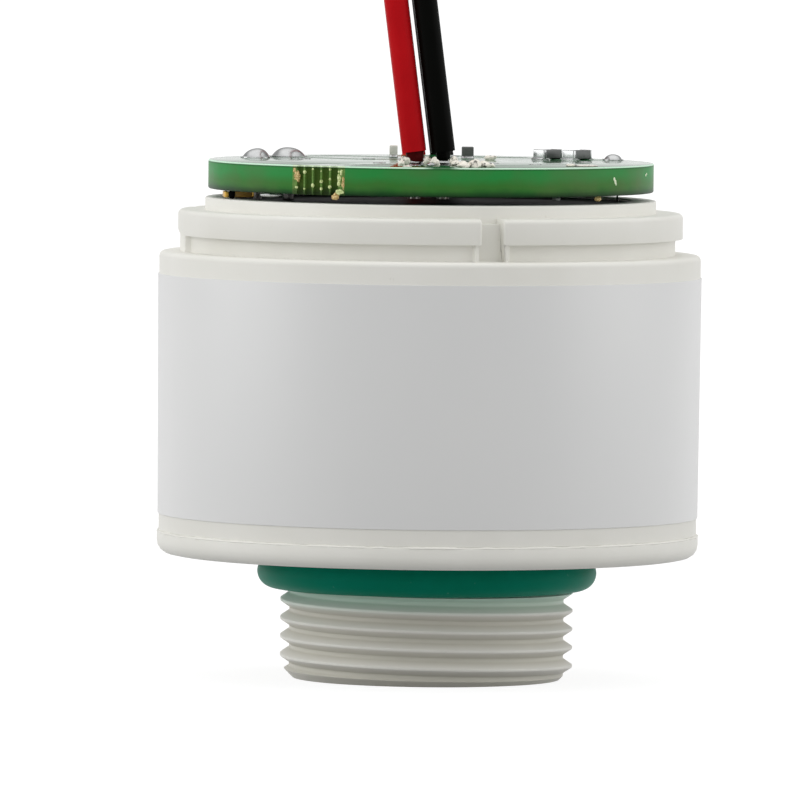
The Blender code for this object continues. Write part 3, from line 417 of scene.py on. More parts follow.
def extruded_pvc(name, light, dark, scuff):
    """Extruded PVC insulation: even colour with a waxy shine, faint draw lines and rubbed patches."""
    made, add, place = new_finish(name, Specular_IOR_Level=0.03)
    patches = add("TexNoise", {"Vector": place, "Scale": per_mm(1.6), "Detail": 5})
    tone = add("Mix", {0: patches, 6: linear(dark), 7: linear(light)}, data_type="RGBA")
    rub = add("MapRange", {"Value": patches, "From Min": 0.62, "From Max": 0.78, "To Min": 0, "To Max": 0.25})
    worn = add("Mix", {0: rub, 6: tone, 7: linear(scuff)}, data_type="RGBA")
    stretched = add("Mapping", {"Vector": place, "Scale": (1, 1, 0.08)})
    lines = add("TexNoise", {"Vector": stretched, "Scale": per_mm(0.12), "Detail": 2})
    rough = add("MapRange", {"Value": lines, "To Min": 0.32, "To Max": 0.5})
    bump = add("Bump", {"Strength": 0.35, "Distance": 0.008 * MM, "Height": lines})
    return surface(made, worn, rough, bump)


def poured_epoxy():
    """Poured black epoxy: near black and glossy, wavy where it crept up the wall, with a few pinholes."""
    made, add, place = new_finish("poured_black_epoxy", Specular_IOR_Level=0.06,
                                  Specular_Tint=(0.1, 0.15, 0.1, 1))
    waves = add("TexNoise", {"Vector": place, "Scale": per_mm(2.5), "Detail": 3})
    tone = add("Mix", {0: waves, 6: linear("020402"), 7: linear("060A06")}, data_type="RGBA")
    pins = add("TexVoronoi", {"Vector": place, "Scale": per_mm(1.5)})
    pit = add("MapRange", {"Value": pins, "From Min": 0.03, "From Max": 0.09})
    height = add("Mix", {0: 0.4, 2: waves, 3: pit})
    rough = add("MapRange", {"Value": waves, "To Min": 0.4, "To Max": 0.6})
    bump = add("Bump", {"Strength": 0.5, "Distance": 0.03 * MM, "Height": height})
    return surface(made, tone, rough, bump)


def fibrous_sheet(name, light, dark, size, roughness):
    """Felted or stretched fibre sheet: matt, with crossing fibres, drawn coarser than the real ones."""
    made, add, place = new_finish(name)
    long_fibres = add("Mapping", {"Vector": place, "Scale": (1, 0.15, 1)})
    across = add("Mapping", {"Vector": place, "Scale": (0.15, 1, 1), "Rotation": (0, 0, 0.6)})
    one = add("TexNoise", {"Vector": long_fibres, "Scale": per_mm(size), "Detail": 3})
    two = add("TexNoise", {"Vector": across, "Scale": per_mm(size), "Detail": 3})
    mesh = add("Math", {0: one, 1: two}, operation="MAXIMUM")
    tone = add("Mix", {0: mesh, 6: linear(dark), 7: linear(light)}, data_type="RGBA")
    bump = add("Bump", {"Strength": 0.5, "Distance": 0.02 * MM, "Height": mesh})
    return surface(made, tone, roughness, bump)


def plain_metal(name, light, dark, grain, low, high):
    """Rolled, drawn or plated metal: its own colour with a grain and duller clouds of oxide."""
    made, add, place = new_finish(name, Metallic=1.0)
    oxide = add("TexNoise", {"Vector": place, "Scale": per_mm(1.8), "Detail": 6})
    tone = add("Mix", {0: oxide, 6: linear(dark), 7: linear(light)}, data_type="RGBA")
    fine = add("TexNoise", {"Vector": place, "Scale": per_mm(grain), "Detail": 4})
    rough = add("MapRange", {"Value": oxide, "To Min": low, "To Max": high})
    bump = add("Bump", {"Strength": 0.3, "Distance": 0.008 * MM, "Height": fine})
    return surface(made, tone, rough, bump)


def plain_moulding(name, light, dark, roughness, clear=0.0):
    """Moulded rubber, nylon or cast film: even colour, a soft mottle and a fine mould grain."""
    made, add, place = new_finish(name, Transmission_Weight=clear)
    mottle = add("TexNoise", {"Vector": place, "Scale": per_mm(2.5), "Detail": 4})
    tone = add("Mix", {0: mottle, 6: linear(dark), 7: linear(light)}, data_type="RGBA")
    grain = add("TexNoise", {"Vector": place, "Scale": per_mm(0.12), "Detail": 3})
    rough = add("MapRange", {"Value": mottle, "To Min": roughness - 0.06, "To Max": roughness + 0.06})
    bump = add("Bump", {"Strength": 0.3, "Distance": 0.008 * MM, "Height": grain})
    return surface(made, tone, rough, bump)


# Modelling tools

def deselect():
    if bpy.context.object and bpy.context.object.mode == "EDIT":
        leave_edit()
    bpy.ops.object.select_all(action="DESELECT")


def take(piece):
    """Make one piece the only selected and active object."""
    deselect()
    piece.select_set(True)
    bpy.context.view_layer.objects.active = piece


def edit(piece):
    """Take one piece into edit mode with all of it selected."""
    take(piece)
    bpy.ops.object.mode_set(mode="EDIT")
    bpy.ops.mesh.select_all(action="SELECT")


def leave_edit():
    bpy.ops.object.mode_set(mode="OBJECT")


def spin(steps, sweep=FULL_TURN, seamless=True):
    """Spin the selection about the upright axis, and merge the seam where the turn is whole."""
    bpy.ops.mesh.spin(steps=steps, angle=-sweep, center=(0, 0, 0), axis=(0, 0, 1), use_auto_merge=seamless)


def polar(radius, angle, height=0.0):
    return Vector((radius * math.cos(angle), radius * math.sin(angle), height))


def rounded(corners, steps=4):
    """Points of a closed outline of (radius, height, fillet) corners, with each fillet drawn as an arc."""
    points = []
    for at, (radius, height, fillet) in enumerate(corners):
        here = Vector((radius, height))
        if not fillet:
            points.append(here)
            continue
        before = (Vector(corners[at - 1][:2]) - here).normalized()
        after = (Vector(corners[(at + 1) % len(corners)][:2]) - here).normalized()
        half = before.angle(after) / 2
        centre = here + (before + after).normalized() * fillet / math.sin(half)
        start = here + before * fillet / math.tan(half) - centre
        end = here + after * fillet / math.tan(half) - centre
        first = math.atan2(start.y, start.x)
        turn = (math.atan2(end.y, end.x) - first + math.pi) % FULL_TURN - math.pi
        for step in range(steps + 1):
            angle = first + turn * step / steps
            points.append(centre + fillet * Vector((math.cos(angle), math.sin(angle))))
    return points


def select_where(piece, kind, test):
    """Select the vertices, edges or faces of the piece in edit mode that pass a test, and nothing else."""
    bpy.ops.mesh.select_all(action="DESELECT")
    bpy.ops.mesh.select_mode(type={"verts": "VERT", "edges": "EDGE", "faces": "FACE"}[kind])
    shape = bmesh.from_edit_mesh(piece.data)
    for item in getattr(shape, kind):
        if test(item):
            item.select_set(True)
    shape.select_flush(True)
    bmesh.update_edit_mesh(piece.data)


def draw_outline(name, points, angle=0.0):
    """An outline in the upright plane at an angle: one vertex, extruded from point to point."""
    deselect()
    bpy.ops.mesh.primitive_plane_add(size=MM)
    piece = bpy.context.object
    piece.name = piece.data.name = name
    bpy.ops.object.mode_set(mode="EDIT")
    bpy.ops.mesh.select_mode(type="VERT")
    bpy.ops.mesh.select_all(action="SELECT")
    bpy.ops.mesh.merge(type="CENTER")
    here = polar(points[0][0], angle, points[0][1])
    bpy.ops.transform.translate(value=here)
    for radius, height in points[1:]:
        there = polar(radius, angle, height)
        bpy.ops.mesh.extrude_region_move(TRANSFORM_OT_translate={"value": there - here})
        here = there
    if min(points[0][0], points[-1][0]) > 0:
        select_where(piece, "verts", lambda vertex: len(vertex.link_edges) == 1)
        bpy.ops.mesh.edge_face_add()
    bpy.ops.mesh.select_all(action="SELECT")
    return piece


def close_up(piece):
    """Merge doubles, close the ends, point the faces out and leave edit mode."""
    bpy.ops.mesh.select_mode(type="VERT")
    bpy.ops.mesh.select_all(action="SELECT")
    bpy.ops.mesh.remove_doubles(threshold=0.0002 * MM)
    bpy.ops.mesh.select_all(action="SELECT")
    bpy.ops.mesh.fill_holes(sides=0)
    bpy.ops.mesh.select_all(action="SELECT")
    bpy.ops.mesh.normals_make_consistent(inside=False)
    leave_edit()
    return piece


def turned(name, corners, steps, start=0.0, sweep=FULL_TURN):
    """A piece spun about the upright axis from its outline."""
    piece = draw_outline(name, rounded(corners), start)
    spin(steps, sweep, sweep == FULL_TURN)
    return close_up(piece)


def shift(piece, offset):
    """Move a piece's mesh in edit mode, so that its object stays at the origin."""
    edit(piece)
    bpy.ops.transform.translate(value=offset)
    leave_edit()
    return piece


def settle(piece):
    """Put an object's own place, turn and size into its mesh."""
    take(piece)
    bpy.ops.object.transform_apply(location=True, rotation=True, scale=True)
    return piece


def apply_modifier(piece, kind, **settings):
    """Add a modifier and apply it."""
    take(piece)
    change = piece.modifiers.new(kind.lower(), kind)
    for setting, value in settings.items():
        setattr(change, setting, value)
    bpy.ops.object.modifier_apply(modifier=change.name)
    return piece


def combine(piece, tool, operation):
    """Cut a piece with a tool or add the tool to it, and remove the tool."""
    apply_modifier(piece, "BOOLEAN", operation=operation, solver="EXACT", object=tool)
    bpy.data.objects.remove(tool, do_unlink=True)
    return piece


def join(name, parts):
    """Several meshes as one piece."""
    take(parts[0])
    for part in parts:
        part.select_set(True)
    bpy.ops.object.join()
    parts[0].name = parts[0].data.name = name
    return parts[0]


def block(name, centre, size, angle=0.0, edge=0.03 * MM, segments=2, finish=None):
    """A small block with rounded edges, turned about the upright axis."""
    deselect()
    bpy.ops.mesh.primitive_cube_add(size=1, location=centre, rotation=(0, 0, angle), scale=size)
    piece = bpy.context.object
    piece.name = piece.data.name = name
    bpy.ops.object.transform_apply(location=True, rotation=True, scale=True)
    bpy.ops.object.mode_set(mode="EDIT")
    bpy.ops.mesh.select_all(action="SELECT")
    bpy.ops.mesh.bevel(offset=edge, segments=segments)
    leave_edit()
    if finish:
        piece.data.materials.append(finish)
    return piece


def roughen(piece, size, amount, seed=0.0):
    """Push a mesh's vertices in and out along their normals by smooth noise of a size."""
    shift_seed = Vector((seed * 3.1, seed * 1.7, seed * 2.3))
    normals = [vertex.normal.copy() for vertex in piece.data.vertices]
    for vertex, normal in zip(piece.data.vertices, normals):
        vertex.co += normal * amount * noise.noise(vertex.co / size + shift_seed)
    return piece


def lump(name, centre, size, seed, amount=0.3, angle=0.0):
    """An uneven blob, flattened to a size and pushed about by noise."""
    deselect()
    bpy.ops.mesh.primitive_ico_sphere_add(
        subdivisions=4, radius=0.5, location=centre, rotation=(0, 0, angle), scale=size)
    piece = bpy.context.object
    piece.name = piece.data.name = name
    bpy.ops.object.transform_apply(location=True, rotation=True, scale=True)
    reach = min(size)
    roughen(piece, reach * 0.8, reach * amount, seed)
    return roughen(piece, reach * 0.3, reach * amount * 0.4, seed + 5)


def dress(piece, finish, slot, *nodes, smooth=32):
    """Give a piece its finish and smooth shading, and let it stand for its nodes."""
    if finish:
        piece.data.materials.clear()
        piece.data.materials.append(finish)
    take(piece)
    bpy.ops.object.shade_smooth_by_angle(angle=math.radians(smooth))
    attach(piece, "root")
    if nodes:
        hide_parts(*nodes)
    return piece


# Flying leads

def smooth_route(route, step):
    """Points about one step apart on the smooth curve through a route's own points."""
    ends = [2 * route[0] - route[1], *route, 2 * route[-1] - route[-2]]
    points = [route[0]]
    for before, here, there, after in zip(ends, ends[1:], ends[2:], ends[3:]):
        pieces = max(1, round((there - here).length / step))
        for piece in range(1, pieces + 1):
            t = piece / pieces
            points.append(
                0.5 * (2 * here + (there - before) * t + (2 * before - 5 * here + 4 * there - after) * t * t
                       + (3 * here - before - 3 * there + after) * t * t * t)
            )
    return points


def wire_point(spot, y, z):
    x = spot.x + WIRE_LEAN * (z - insulation_start) + WIRE_DRIFT * (y - spot.y)
    return Vector((x, y, z))


def wire_route(spot, side):
    """Up from the board, over in one high bend, down behind the can, back and into the plug."""
    floor = WIRE_DIAMETER / 2 + PLUG_LIFT
    start = insulation_start + 0.03 * MM
    rise = [(0, 0), (0, 2.7), (0, 6.2), (0.1, 9.7), (1.4, 14.3), (4.9, 18.4), (10.1, 20.4), (15.6, 18.8),
            (19.7, 14.6), (22.3, 8.9)]
    back = CAN_RADIUS + LABEL_THICKNESS + WIRE_DIAMETER
    fall = [(0.7, 2.2), (1.0, -4.8), (1.2, -11.8)]
    lay = [(1.9, 10.3), (3.6, 4.9), (7.6, 1.2), (13, 0), (19, 0), (25, 0), (31, 0)]
    route = [wire_point(spot, spot.y + y * MM, start + z * MM) for y, z in rise]
    route += [wire_point(spot, back + y * MM, start + z * MM) for y, z in fall]
    route += [wire_point(spot, back + y * MM, floor + z * MM) for y, z in lay]
    cavity_height = PLUG_LIFT + PLUG_HEIGHT / 2
    middle = wire_point((RED_SPOT + BLACK_SPOT) / 2, PLUG_BACK, cavity_height).x
    x = middle + side * CONTACT_SPACING / 2
    route.append(Vector((x, PLUG_BACK - 3.4 * MM, (floor + cavity_height) / 2)))
    route.append(Vector((x, PLUG_BACK, cavity_height)))
    route.append(Vector((x, PLUG_BACK + WIRE_REACH, cavity_height)))
    return route


def tube(name, points, radius, resolution):
    """A round bar along a run of points, as a mesh in edit mode with all of it selected."""
    path = bpy.data.curves.new(name, "CURVE")
    path.dimensions = "3D"
    path.bevel_depth = radius
    path.bevel_resolution = resolution
    path.use_fill_caps = True
    line = path.splines.new("POLY")
    line.points.add(len(points) - 1)
    for place, point in zip(line.points, points):
        place.co = (*point, 1.0)
    piece = bpy.data.objects.new(name, path)
    bpy.context.scene.collection.objects.link(piece)
    take(piece)
    bpy.ops.object.convert(target="MESH")
    edit(bpy.context.object)
    return bpy.context.object


def flying_lead(colour, spot, side, finish):
    """Insulation along its route, with a cut end that shows its thickness."""
    points = smooth_route(wire_route(spot, side), 0.8 * MM)
    piece = close_up(tube(colour + "_wire_insulation", points, WIRE_DIAMETER / 2, 6))
    edit(piece)
    near = insulation_start + 0.3 * MM

    def at_end(face):
        middle = face.calc_center_median()
        return len(face.verts) > 8 and middle.z < near and middle.y < 0

    select_where(piece, "faces", at_end)
    bpy.ops.mesh.inset(thickness=0.1 * MM, depth=0.0)
    bpy.ops.mesh.extrude_region_move(TRANSFORM_OT_translate={"value": (0, 0, 0.25 * MM)})
    bpy.ops.mesh.select_all(action="SELECT")
    bpy.ops.mesh.normals_make_consistent(inside=False)
    leave_edit()
    dress(piece, finish, colour + "_pvc", colour + "_wire", smooth=40)


# Can, cap and label

def snap_ring():
    """Arcs of the snap ring: spun from one section, then drawn in under the lip, with rounded lip ends."""
    slot_half = math.asin(SLOT_WIDTH / 2 / RING_RADIUS)
    post = POST_WIDTH / RING_RADIUS
    ease = 0.12 * MM / RING_RADIUS
    sweep = FULL_TURN / SLOT_COUNT - 2 * slot_half
    underside = shoulder + UNDERCUT_HEIGHT
    top = shoulder + RING_HEIGHT
    base = shoulder - 0.3 * MM
    buried = COLLAR_RADIUS - 0.6 * MM
    section = [(buried, base, 0), (POST_RADIUS, base, 0), (POST_RADIUS, underside, 0),
               (RING_RADIUS, underside, 0),
               (RING_RADIUS, top, 0.26 * MM), (buried, top, 0)]
    arcs = []
    for slot in range(SLOT_COUNT):
        start = FIRST_SLOT + slot * FULL_TURN / SLOT_COUNT + slot_half
        stop = slot == SLOT_COUNT - 1
        head = STOP_WIDTH / RING_RADIUS if stop else post
        arc = draw_outline("ring_arc", rounded(section), start)
        drawn_in = sweep - head - post - 2 * ease
        for steps, angle in ((18 if stop else 2, head), (1, ease), (72, drawn_in), (1, ease), (2, post)):
            spin(steps, angle, False)
        close_up(arc)
        edit(arc)

        def turn(vertex):
            return (math.atan2(vertex.co.y, vertex.co.x) - start + ease) % FULL_TURN - ease

        def under_lip(vertex):
            at_wall = abs(vertex.co.xy.length - POST_RADIUS) < 0.01 * MM
            return at_wall and head + ease / 2 < turn(vertex) < sweep - post

        select_where(arc, "verts", under_lip)
        inward = UNDERCUT_RADIUS / POST_RADIUS
        bpy.ops.transform.resize(value=(inward, inward, 1), center_override=(0, 0, 0))
        if stop:
            select_where(arc, "verts", lambda vertex: vertex.co.xy.length > RING_RADIUS - 0.01 * MM
                         and vertex.co.z < underside + 0.01 * MM and turn(vertex) < head - ease)
            bpy.ops.transform.translate(value=(0, 0, 0.28 * MM))
        select_where(arc, "edges", lambda edge: all(
            vertex.co.xy.length > RING_RADIUS - 0.3 * MM and vertex.co.z > underside - 0.01 * MM
            and min(abs(turn(vertex)), abs(turn(vertex) - sweep)) < 0.001 for vertex in edge.verts))
        bpy.ops.mesh.bevel(offset=0.13 * MM, segments=3, clamp_overlap=True)
        for end, way in ((0, 1), (sweep, -1)):
            select_where(arc, "verts", lambda vertex: vertex.co.z < underside + 0.01 * MM
                         and vertex.co.xy.length < POST_RADIUS + 0.01 * MM
                         and abs(turn(vertex) - end) < 0.001)
            bpy.ops.transform.translate(value=polar(0.14 * MM * way, start + end + math.pi / 2))
        leave_edit()
        apply_modifier(arc, "BEVEL", width=0.05 * MM, segments=2, limit_method="ANGLE",
                       angle_limit=math.radians(50))
        arcs.append(arc)
    return join("ring_arcs", arcs)


def can(finish):
    """Can with draft, shoulder, collar and slotted snap ring, one moulding."""
    cavity_top = shoulder - 1.6 * MM
    slot_back_top = shoulder + SLOT_BACK_HEIGHT
    corners = [
        (0, cavity_top, 0), (CAVITY_RADIUS, cavity_top, 0.4 * MM), (CAVITY_RADIUS, foot, 0.1 * MM),
        (FOOT_RADIUS, foot, 0.08 * MM), (CAN_RADIUS, shoulder, 0.28 * MM),
        (SLOT_BACK_RADIUS, shoulder, 0.05 * MM),
        (SLOT_BACK_RADIUS, slot_back_top, 0.02 * MM), (COLLAR_RADIUS, slot_back_top, 0.02 * MM),
        (COLLAR_RADIUS, collar_top, 0.1 * MM), (COLLAR_BORE, collar_top, 0.1 * MM),
        (COLLAR_BORE, shoulder, 0.1 * MM),
        (0, shoulder, 0),
    ]
    piece = turned("can_moulding", corners, CAN_STEPS)
    combine(piece, snap_ring(), "UNION")
    return dress(piece, finish, "white_abs", "sensor_body")


def thread_groove():
    """The groove between rounded crests, screwed up the nose the way that the photographed crests run."""
    outside = THREAD_RADIUS + 0.15 * MM
    half_mouth = 0.43 * MM
    half_root = 0.1 * MM
    crest = THREAD_RADIUS + 0.012 * MM
    section = [
        (THREAD_ROOT, -half_root, 0.12 * MM), (THREAD_RADIUS, -half_mouth, 0.11 * MM),
        (crest, -half_mouth - 0.066 * MM, 0), (outside, -half_mouth - 0.068 * MM, 0),
        (outside, half_mouth + 0.068 * MM, 0), (crest, half_mouth + 0.066 * MM, 0),
        (THREAD_RADIUS, half_mouth, 0.11 * MM), (THREAD_ROOT, half_root, 0.12 * MM),
    ]
    tool = draw_outline("thread_groove", rounded(section))
    first = 0.25 * MM - THREAD_PITCH
    bpy.ops.transform.translate(value=(0, 0, first))
    leave_edit()
    turns = math.ceil((THREAD_LENGTH - first) / THREAD_PITCH)
    apply_modifier(tool, "SCREW", axis="Z", angle=-FULL_TURN, screw_offset=THREAD_PITCH, iterations=turns,
                   steps=THREAD_STEPS, render_steps=THREAD_STEPS)
    edit(tool)
    return close_up(tool)


def cap(finish):
    """Cap: rim, relief for the O-ring, threaded nose, gas inlet and spigot, one moulding."""
    corners = [
        (INLET_RADIUS, 0, 0.12 * MM), (NOSE_TIP_RADIUS, 0, 0.06 * MM), (THREAD_RADIUS, NOSE_TAPER, 0.05 * MM),
        (THREAD_RADIUS, THREAD_LENGTH - THREAD_RUN_OUT, 0.1 * MM),
        (RELIEF_RADIUS, THREAD_LENGTH, 0.1 * MM), (RELIEF_RADIUS, rim_underside, 0.15 * MM),
        (CAN_RADIUS, rim_underside, 0.7 * MM), (CAN_RADIUS, weld_height, 0.05 * MM),
        (SPIGOT_RADIUS, weld_height, 0.05 * MM), (SPIGOT_RADIUS, cap_top, 0.2 * MM),
        (SPIGOT_BORE, cap_top, 0.1 * MM), (SPIGOT_BORE, cap_floor, 0.2 * MM),
        (WELL_RADIUS, cap_floor, 0.1 * MM),
        (WELL_RADIUS, WELL_FLOOR, 0), (GAS_BORE, WELL_FLOOR, 0.1 * MM), (GAS_BORE, FILTER_SEAT, 0.1 * MM),
        (INLET_RADIUS, FILTER_SEAT, 0),
    ]
    piece = turned("cap_moulding", corners, NOSE_STEPS)
    combine(piece, thread_groove(), "DIFFERENCE")
    return dress(piece, finish, "white_abs", "front_cap")


def weld_bead(finish):
    """Thin uneven bead of plastic squeezed out where the cap was welded to the can."""
    corners = [
        (14.45 * MM, weld_height - 0.06 * MM, 0), (14.67 * MM, weld_height - 0.05 * MM, 0.01 * MM),
        (14.735 * MM, weld_height + 0.005 * MM, 0.03 * MM), (14.62 * MM, weld_height + 0.07 * MM, 0.01 * MM),
        (14.45 * MM, weld_height + 0.06 * MM, 0),
    ]
    piece = turned("weld_bead", corners, 2 * CAN_STEPS)
    roughen(piece, 0.9 * MM, 0.035 * MM, 1)
    roughen(piece, 0.25 * MM, 0.02 * MM, 4)
    return dress(piece, finish, "white_abs", smooth=60)


def o_ring(finish):
    """O-ring, a little flat where it bears on rim and nose, with the fine flash of its mould."""
    radius = 0.9 * MM
    middle = Vector((RELIEF_RADIUS + 0.03 * MM + radius, rim_underside - 0.03 * MM - radius))
    points = []
    steps = 72
    for step in range(steps):
        angle = FULL_TURN * (step + 0.5) / steps
        point = middle + radius * Vector((math.cos(angle), math.sin(angle)))
        off = math.degrees(angle if angle < math.pi else angle - FULL_TURN)
        flash = 0.012 * MM * max(0, 1 - abs(off) / 4)
        flat_top = middle.y + radius - 0.01 * MM
        flat_inside = middle.x - radius + 0.01 * MM
        points.append((max(point.x + flash, flat_inside), min(point.y, flat_top)))
    piece = draw_outline("o_ring", points)
    spin(CAN_STEPS)
    close_up(piece)
    roughen(piece, 3 * MM, 0.012 * MM, 2)
    return dress(piece, finish, "green_rubber", "nose_o_ring", smooth=60)


def label(finish):
    """Label wrapped round the can with a narrow seam at the back and rounded outer edges."""
    gap = 0.01 * MM
    draft = (CAN_RADIUS - FOOT_RADIUS) / (shoulder - foot)
    low = FOOT_RADIUS + draft * (label_base - foot) + gap
    high = FOOT_RADIUS + draft * (label_top - foot) + gap
    corners = [
        (low, label_base, 0), (low + LABEL_THICKNESS, label_base, 0.015 * MM),
        (high + LABEL_THICKNESS, label_top, 0.015 * MM), (high, label_top, 0),
    ]
    seam = 0.6 * MM / CAN_RADIUS
    piece = turned("label_wrap", corners, CAN_STEPS, -FRONT + seam / 2, FULL_TURN - seam)
    return dress(piece, finish, "label_paper", "blank_label")


def gas_inlet(sheet, ring_finish):
    """Dust filter in the nose and the ring pressed in under it."""
    filter_base, filter_top = (corner.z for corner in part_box("dust_filter"))
    ring_base, ring_top = (corner.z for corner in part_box("filter_retainer"))
    radius = 5.57 * MM
    disc = turned(
        "dust_filter_disc", [(0, filter_base, 0), (radius, filter_base, 0.08 * MM),
                             (radius, filter_top, 0.08 * MM),
                             (0, filter_top, 0)], NOSE_STEPS
    )
    dress(disc, sheet, "porous_ptfe", "dust_filter")
    inner = radius - 1.2 * MM
    ring = turned(
        "filter_ring", [(inner, ring_base, 0.25 * MM), (radius, ring_base, 0.12 * MM),
                        (radius, ring_top, 0.04 * MM),
                        (inner, ring_top, 0.04 * MM)], NOSE_STEPS
    )
    dress(ring, ring_finish, "white_abs", "filter_retainer")


def potting(finish):
    """Epoxy in the collar, drawn up a little where it wets the wall."""
    radius = COLLAR_BORE - 0.03 * MM
    corners = [
        (0, potting_base, 0), (radius, potting_base, 0.05 * MM), (radius, potting_top, 0),
        (radius - 0.5 * MM, potting_top - 0.12 * MM, 0.4 * MM), (radius - 3 * MM, potting_top - 0.14 * MM, 0),
        (0, potting_top - 0.14 * MM, 0),
    ]
    piece = turned("potting_fill", corners, CAN_STEPS)
    return dress(piece, finish, "black_epoxy", "rear_potting")


# Circuit board and what is soldered to it

def board(mask, edge, torn):
    """Round board with the row of half-round bites where it was broken from its panel."""
    corners = [
        (0, board_base, 0), (BOARD_RADIUS, board_base, 0.1 * MM), (BOARD_RADIUS, board_top, 0.08 * MM),
        (0, board_top, 0),
    ]
    piece = turned("board", corners, CAN_STEPS)
    step = BITE_SPACING / BOARD_RADIUS
    drills = []
    for bite in range(BITE_COUNT):
        spot = polar(BOARD_RADIUS, BITE_ANGLE + (bite - (BITE_COUNT - 1) / 2) * step,
                     (board_base + board_top) / 2)
        deselect()
        bpy.ops.mesh.primitive_cylinder_add(vertices=32, radius=BITE_RADIUS, depth=2 * MM, location=spot)
        drills.append(settle(bpy.context.object))
    combine(piece, join("bite_drill", drills), "DIFFERENCE")
    for finish in (mask, edge, torn):
        piece.data.materials.append(finish)
    half_row = BITE_COUNT * step / 2
    for face in piece.data.polygons:
        around = math.atan2(face.center.y, face.center.x) - BITE_ANGLE
        if abs(face.normal.z) < 0.95 and face.center.xy.length > BOARD_RADIUS - 0.5 * MM:
            face.material_index = 2 if -half_row - 0.015 < around < half_row + 0.022 else 1
    return dress(piece, None, "board_laminate", "circuit_board")


def torn_ends(pale, amber):
    """Glass ends left on the ridges between the bites, and the torn lumps and shred at the row's two ends."""
    step = BITE_SPACING / BOARD_RADIUS
    first = BITE_ANGLE - BITE_COUNT / 2 * step
    beads = [(0, 1.2, 0.16), (1, 0.38, 0.17), (1, 1.26, 0.12), (2, 0.2, 0.12), (2, 1.07, 0.18),
             (3, 0.85, 0.18),
             (3, 1.24, 0.15), (4, 0.2, 0.13), (4, 0.72, 0.13), (4, 1.12, 0.18), (3, 0.3, 0.1), (5, 0.3, 0.12)]
    parts = []
    for seed, (ridge, drop, size) in enumerate(beads):
        spot = polar(BOARD_RADIUS - 0.03 * MM, first + ridge * step, board_top - drop * MM)
        parts.append(lump("glass_end", spot, (size * MM, size * MM, size * 1.1 * MM), seed, 0.15))
    lumps = [(5.05, 0.75, 0.2, 0.75), (5.2, 1.38, 0.46, 0.3), (5.3, 0.35, 0.14, 0.3)]
    for seed, (ridge, drop, width, tall) in enumerate(lumps):
        spot = polar(BOARD_RADIUS - 0.02 * MM, first + ridge * step, board_top - drop * MM)
        parts.append(lump("torn_lump", spot, (width * MM, 0.22 * MM, tall * MM), seed + 40, 0.35,
                          BITE_ANGLE - FRONT))
    dress(join("glass_ends", parts), pale, "board_laminate", smooth=60)
    lumps = [(0.05, 0.6, 0.36, 0.6), (4.6, 1.64, 0.46, 0.34), (-0.2, 0.3, 0.16, 0.3), (5.5, 0.9, 0.16, 0.9)]
    parts = []
    for seed, (ridge, drop, width, tall) in enumerate(lumps):
        spot = polar(BOARD_RADIUS - 0.06 * MM, first + ridge * step, board_top - drop * MM)
        parts.append(lump("amber_lump", spot, (width * MM, 0.24 * MM, tall * MM), seed + 60, 0.35,
                          BITE_ANGLE - FRONT))
    dress(join("torn_shreds", parts), amber, "board_laminate", smooth=60)


def edge_marks(pale, amber, solder, dull, dark):
    """Chips in the board's edge, solder, resin and adhesive drops under it, and one loose fibre."""
    chips = [(-35.6, 0.66, 0.16, 0.2), (-35.1, 0.82, 0.18, 0.24), (-34.8, 0.95, 0.1, 0.14),
             (-16.5, 0.55, 0.16, 0.14),
             (-15.8, 0.48, 0.14, 0.1)]
    parts = []
    for seed, (degrees, drop, width, tall) in enumerate(chips):
        angle = math.radians(degrees)
        spot = polar(BOARD_RADIUS, angle, board_top - drop * MM)
        parts.append(lump("edge_chip", spot, (width * MM, 0.04 * MM, tall * MM), seed + 80, 0.3,
                          angle - FRONT))
    dress(join("edge_chips", parts), pale, "board_laminate", smooth=60)
    bumps = [("underside_bead", (-8.55, -8.1), (1.25, 0.5, 0.24), 94, 0.03, solder),
             ("underside_solder_end", (6.7, -9.3), (0.5, 0.4, 0.22), 90, 0.3, dull),
             ("underside_resin_drop", (8.95, -7.5), (0.32, 0.3, 0.3), 92, 0.3, amber),
             ("underside_adhesive", (-10.74, -4.5), (0.36, 0.2, 0.5), 98, 0.1, dark)]
    for name, (x, y), (wide, deep, tall), seed, amount, finish in bumps:
        spot = Vector((x * MM, y * MM, board_base - tall * 0.4 * MM))
        piece = lump(name, spot, (wide * MM, deep * MM, tall * MM), seed, amount)
        dress(piece, finish, "solder", smooth=60)
    fibre = lump("loose_fibre", polar(BOARD_RADIUS - 0.1 * MM, math.radians(-33.4), board_base - 0.05 * MM),
                 (0.1 * MM, 0.1 * MM, 0.7 * MM), 96, 0.4)
    dress(fibre, dark, "board_laminate", smooth=60)


def tracks(finish):
    """Copper tracks under the solder mask, as low soft ribs."""
    runs = [
        [(-9.53, 3.5), (-9.9, -1.2), (-5.6, -7.0), (-0.93, -7.06)],
        [(-7.8, 6.0), (-4.4, 2.6), (-2.6, 2.6), (-1.0, 3.6), (2.0, 4.6)],
        [(0.63, -7.06), (3.4, -7.06), (8.4, -2.0), (8.4, 2.6), (6.9, 5.4)],
        [(2.0, 6.6), (3.4, 8.0), (5.2, 8.0), (5.9, 6.6)],
        [(9.98, 5.5), (9.3, 5.3), (8.5, 4.9)],
        [(-2.05, 7.5), (-2.05, 9.4), (1.2, 9.9), (5.2, 8.0)],
        [(-2.05, 6.5), (-4.4, 8.2), (-6.2, 7.6), (-7.8, 6.0)],
    ]
    parts = []
    for run in runs:
        points = smooth_route([Vector((x * MM, y * MM, board_top)) for x, y in run], 0.5 * MM)
        rib = tube("track", points, 0.16 * MM, 3)
        bpy.ops.transform.resize(value=(1, 1, 0.09), center_override=(0, 0, board_top))
        parts.append(close_up(rib))
    piece = join("board_tracks", parts)
    return dress(piece, finish, "board_laminate", smooth=50)


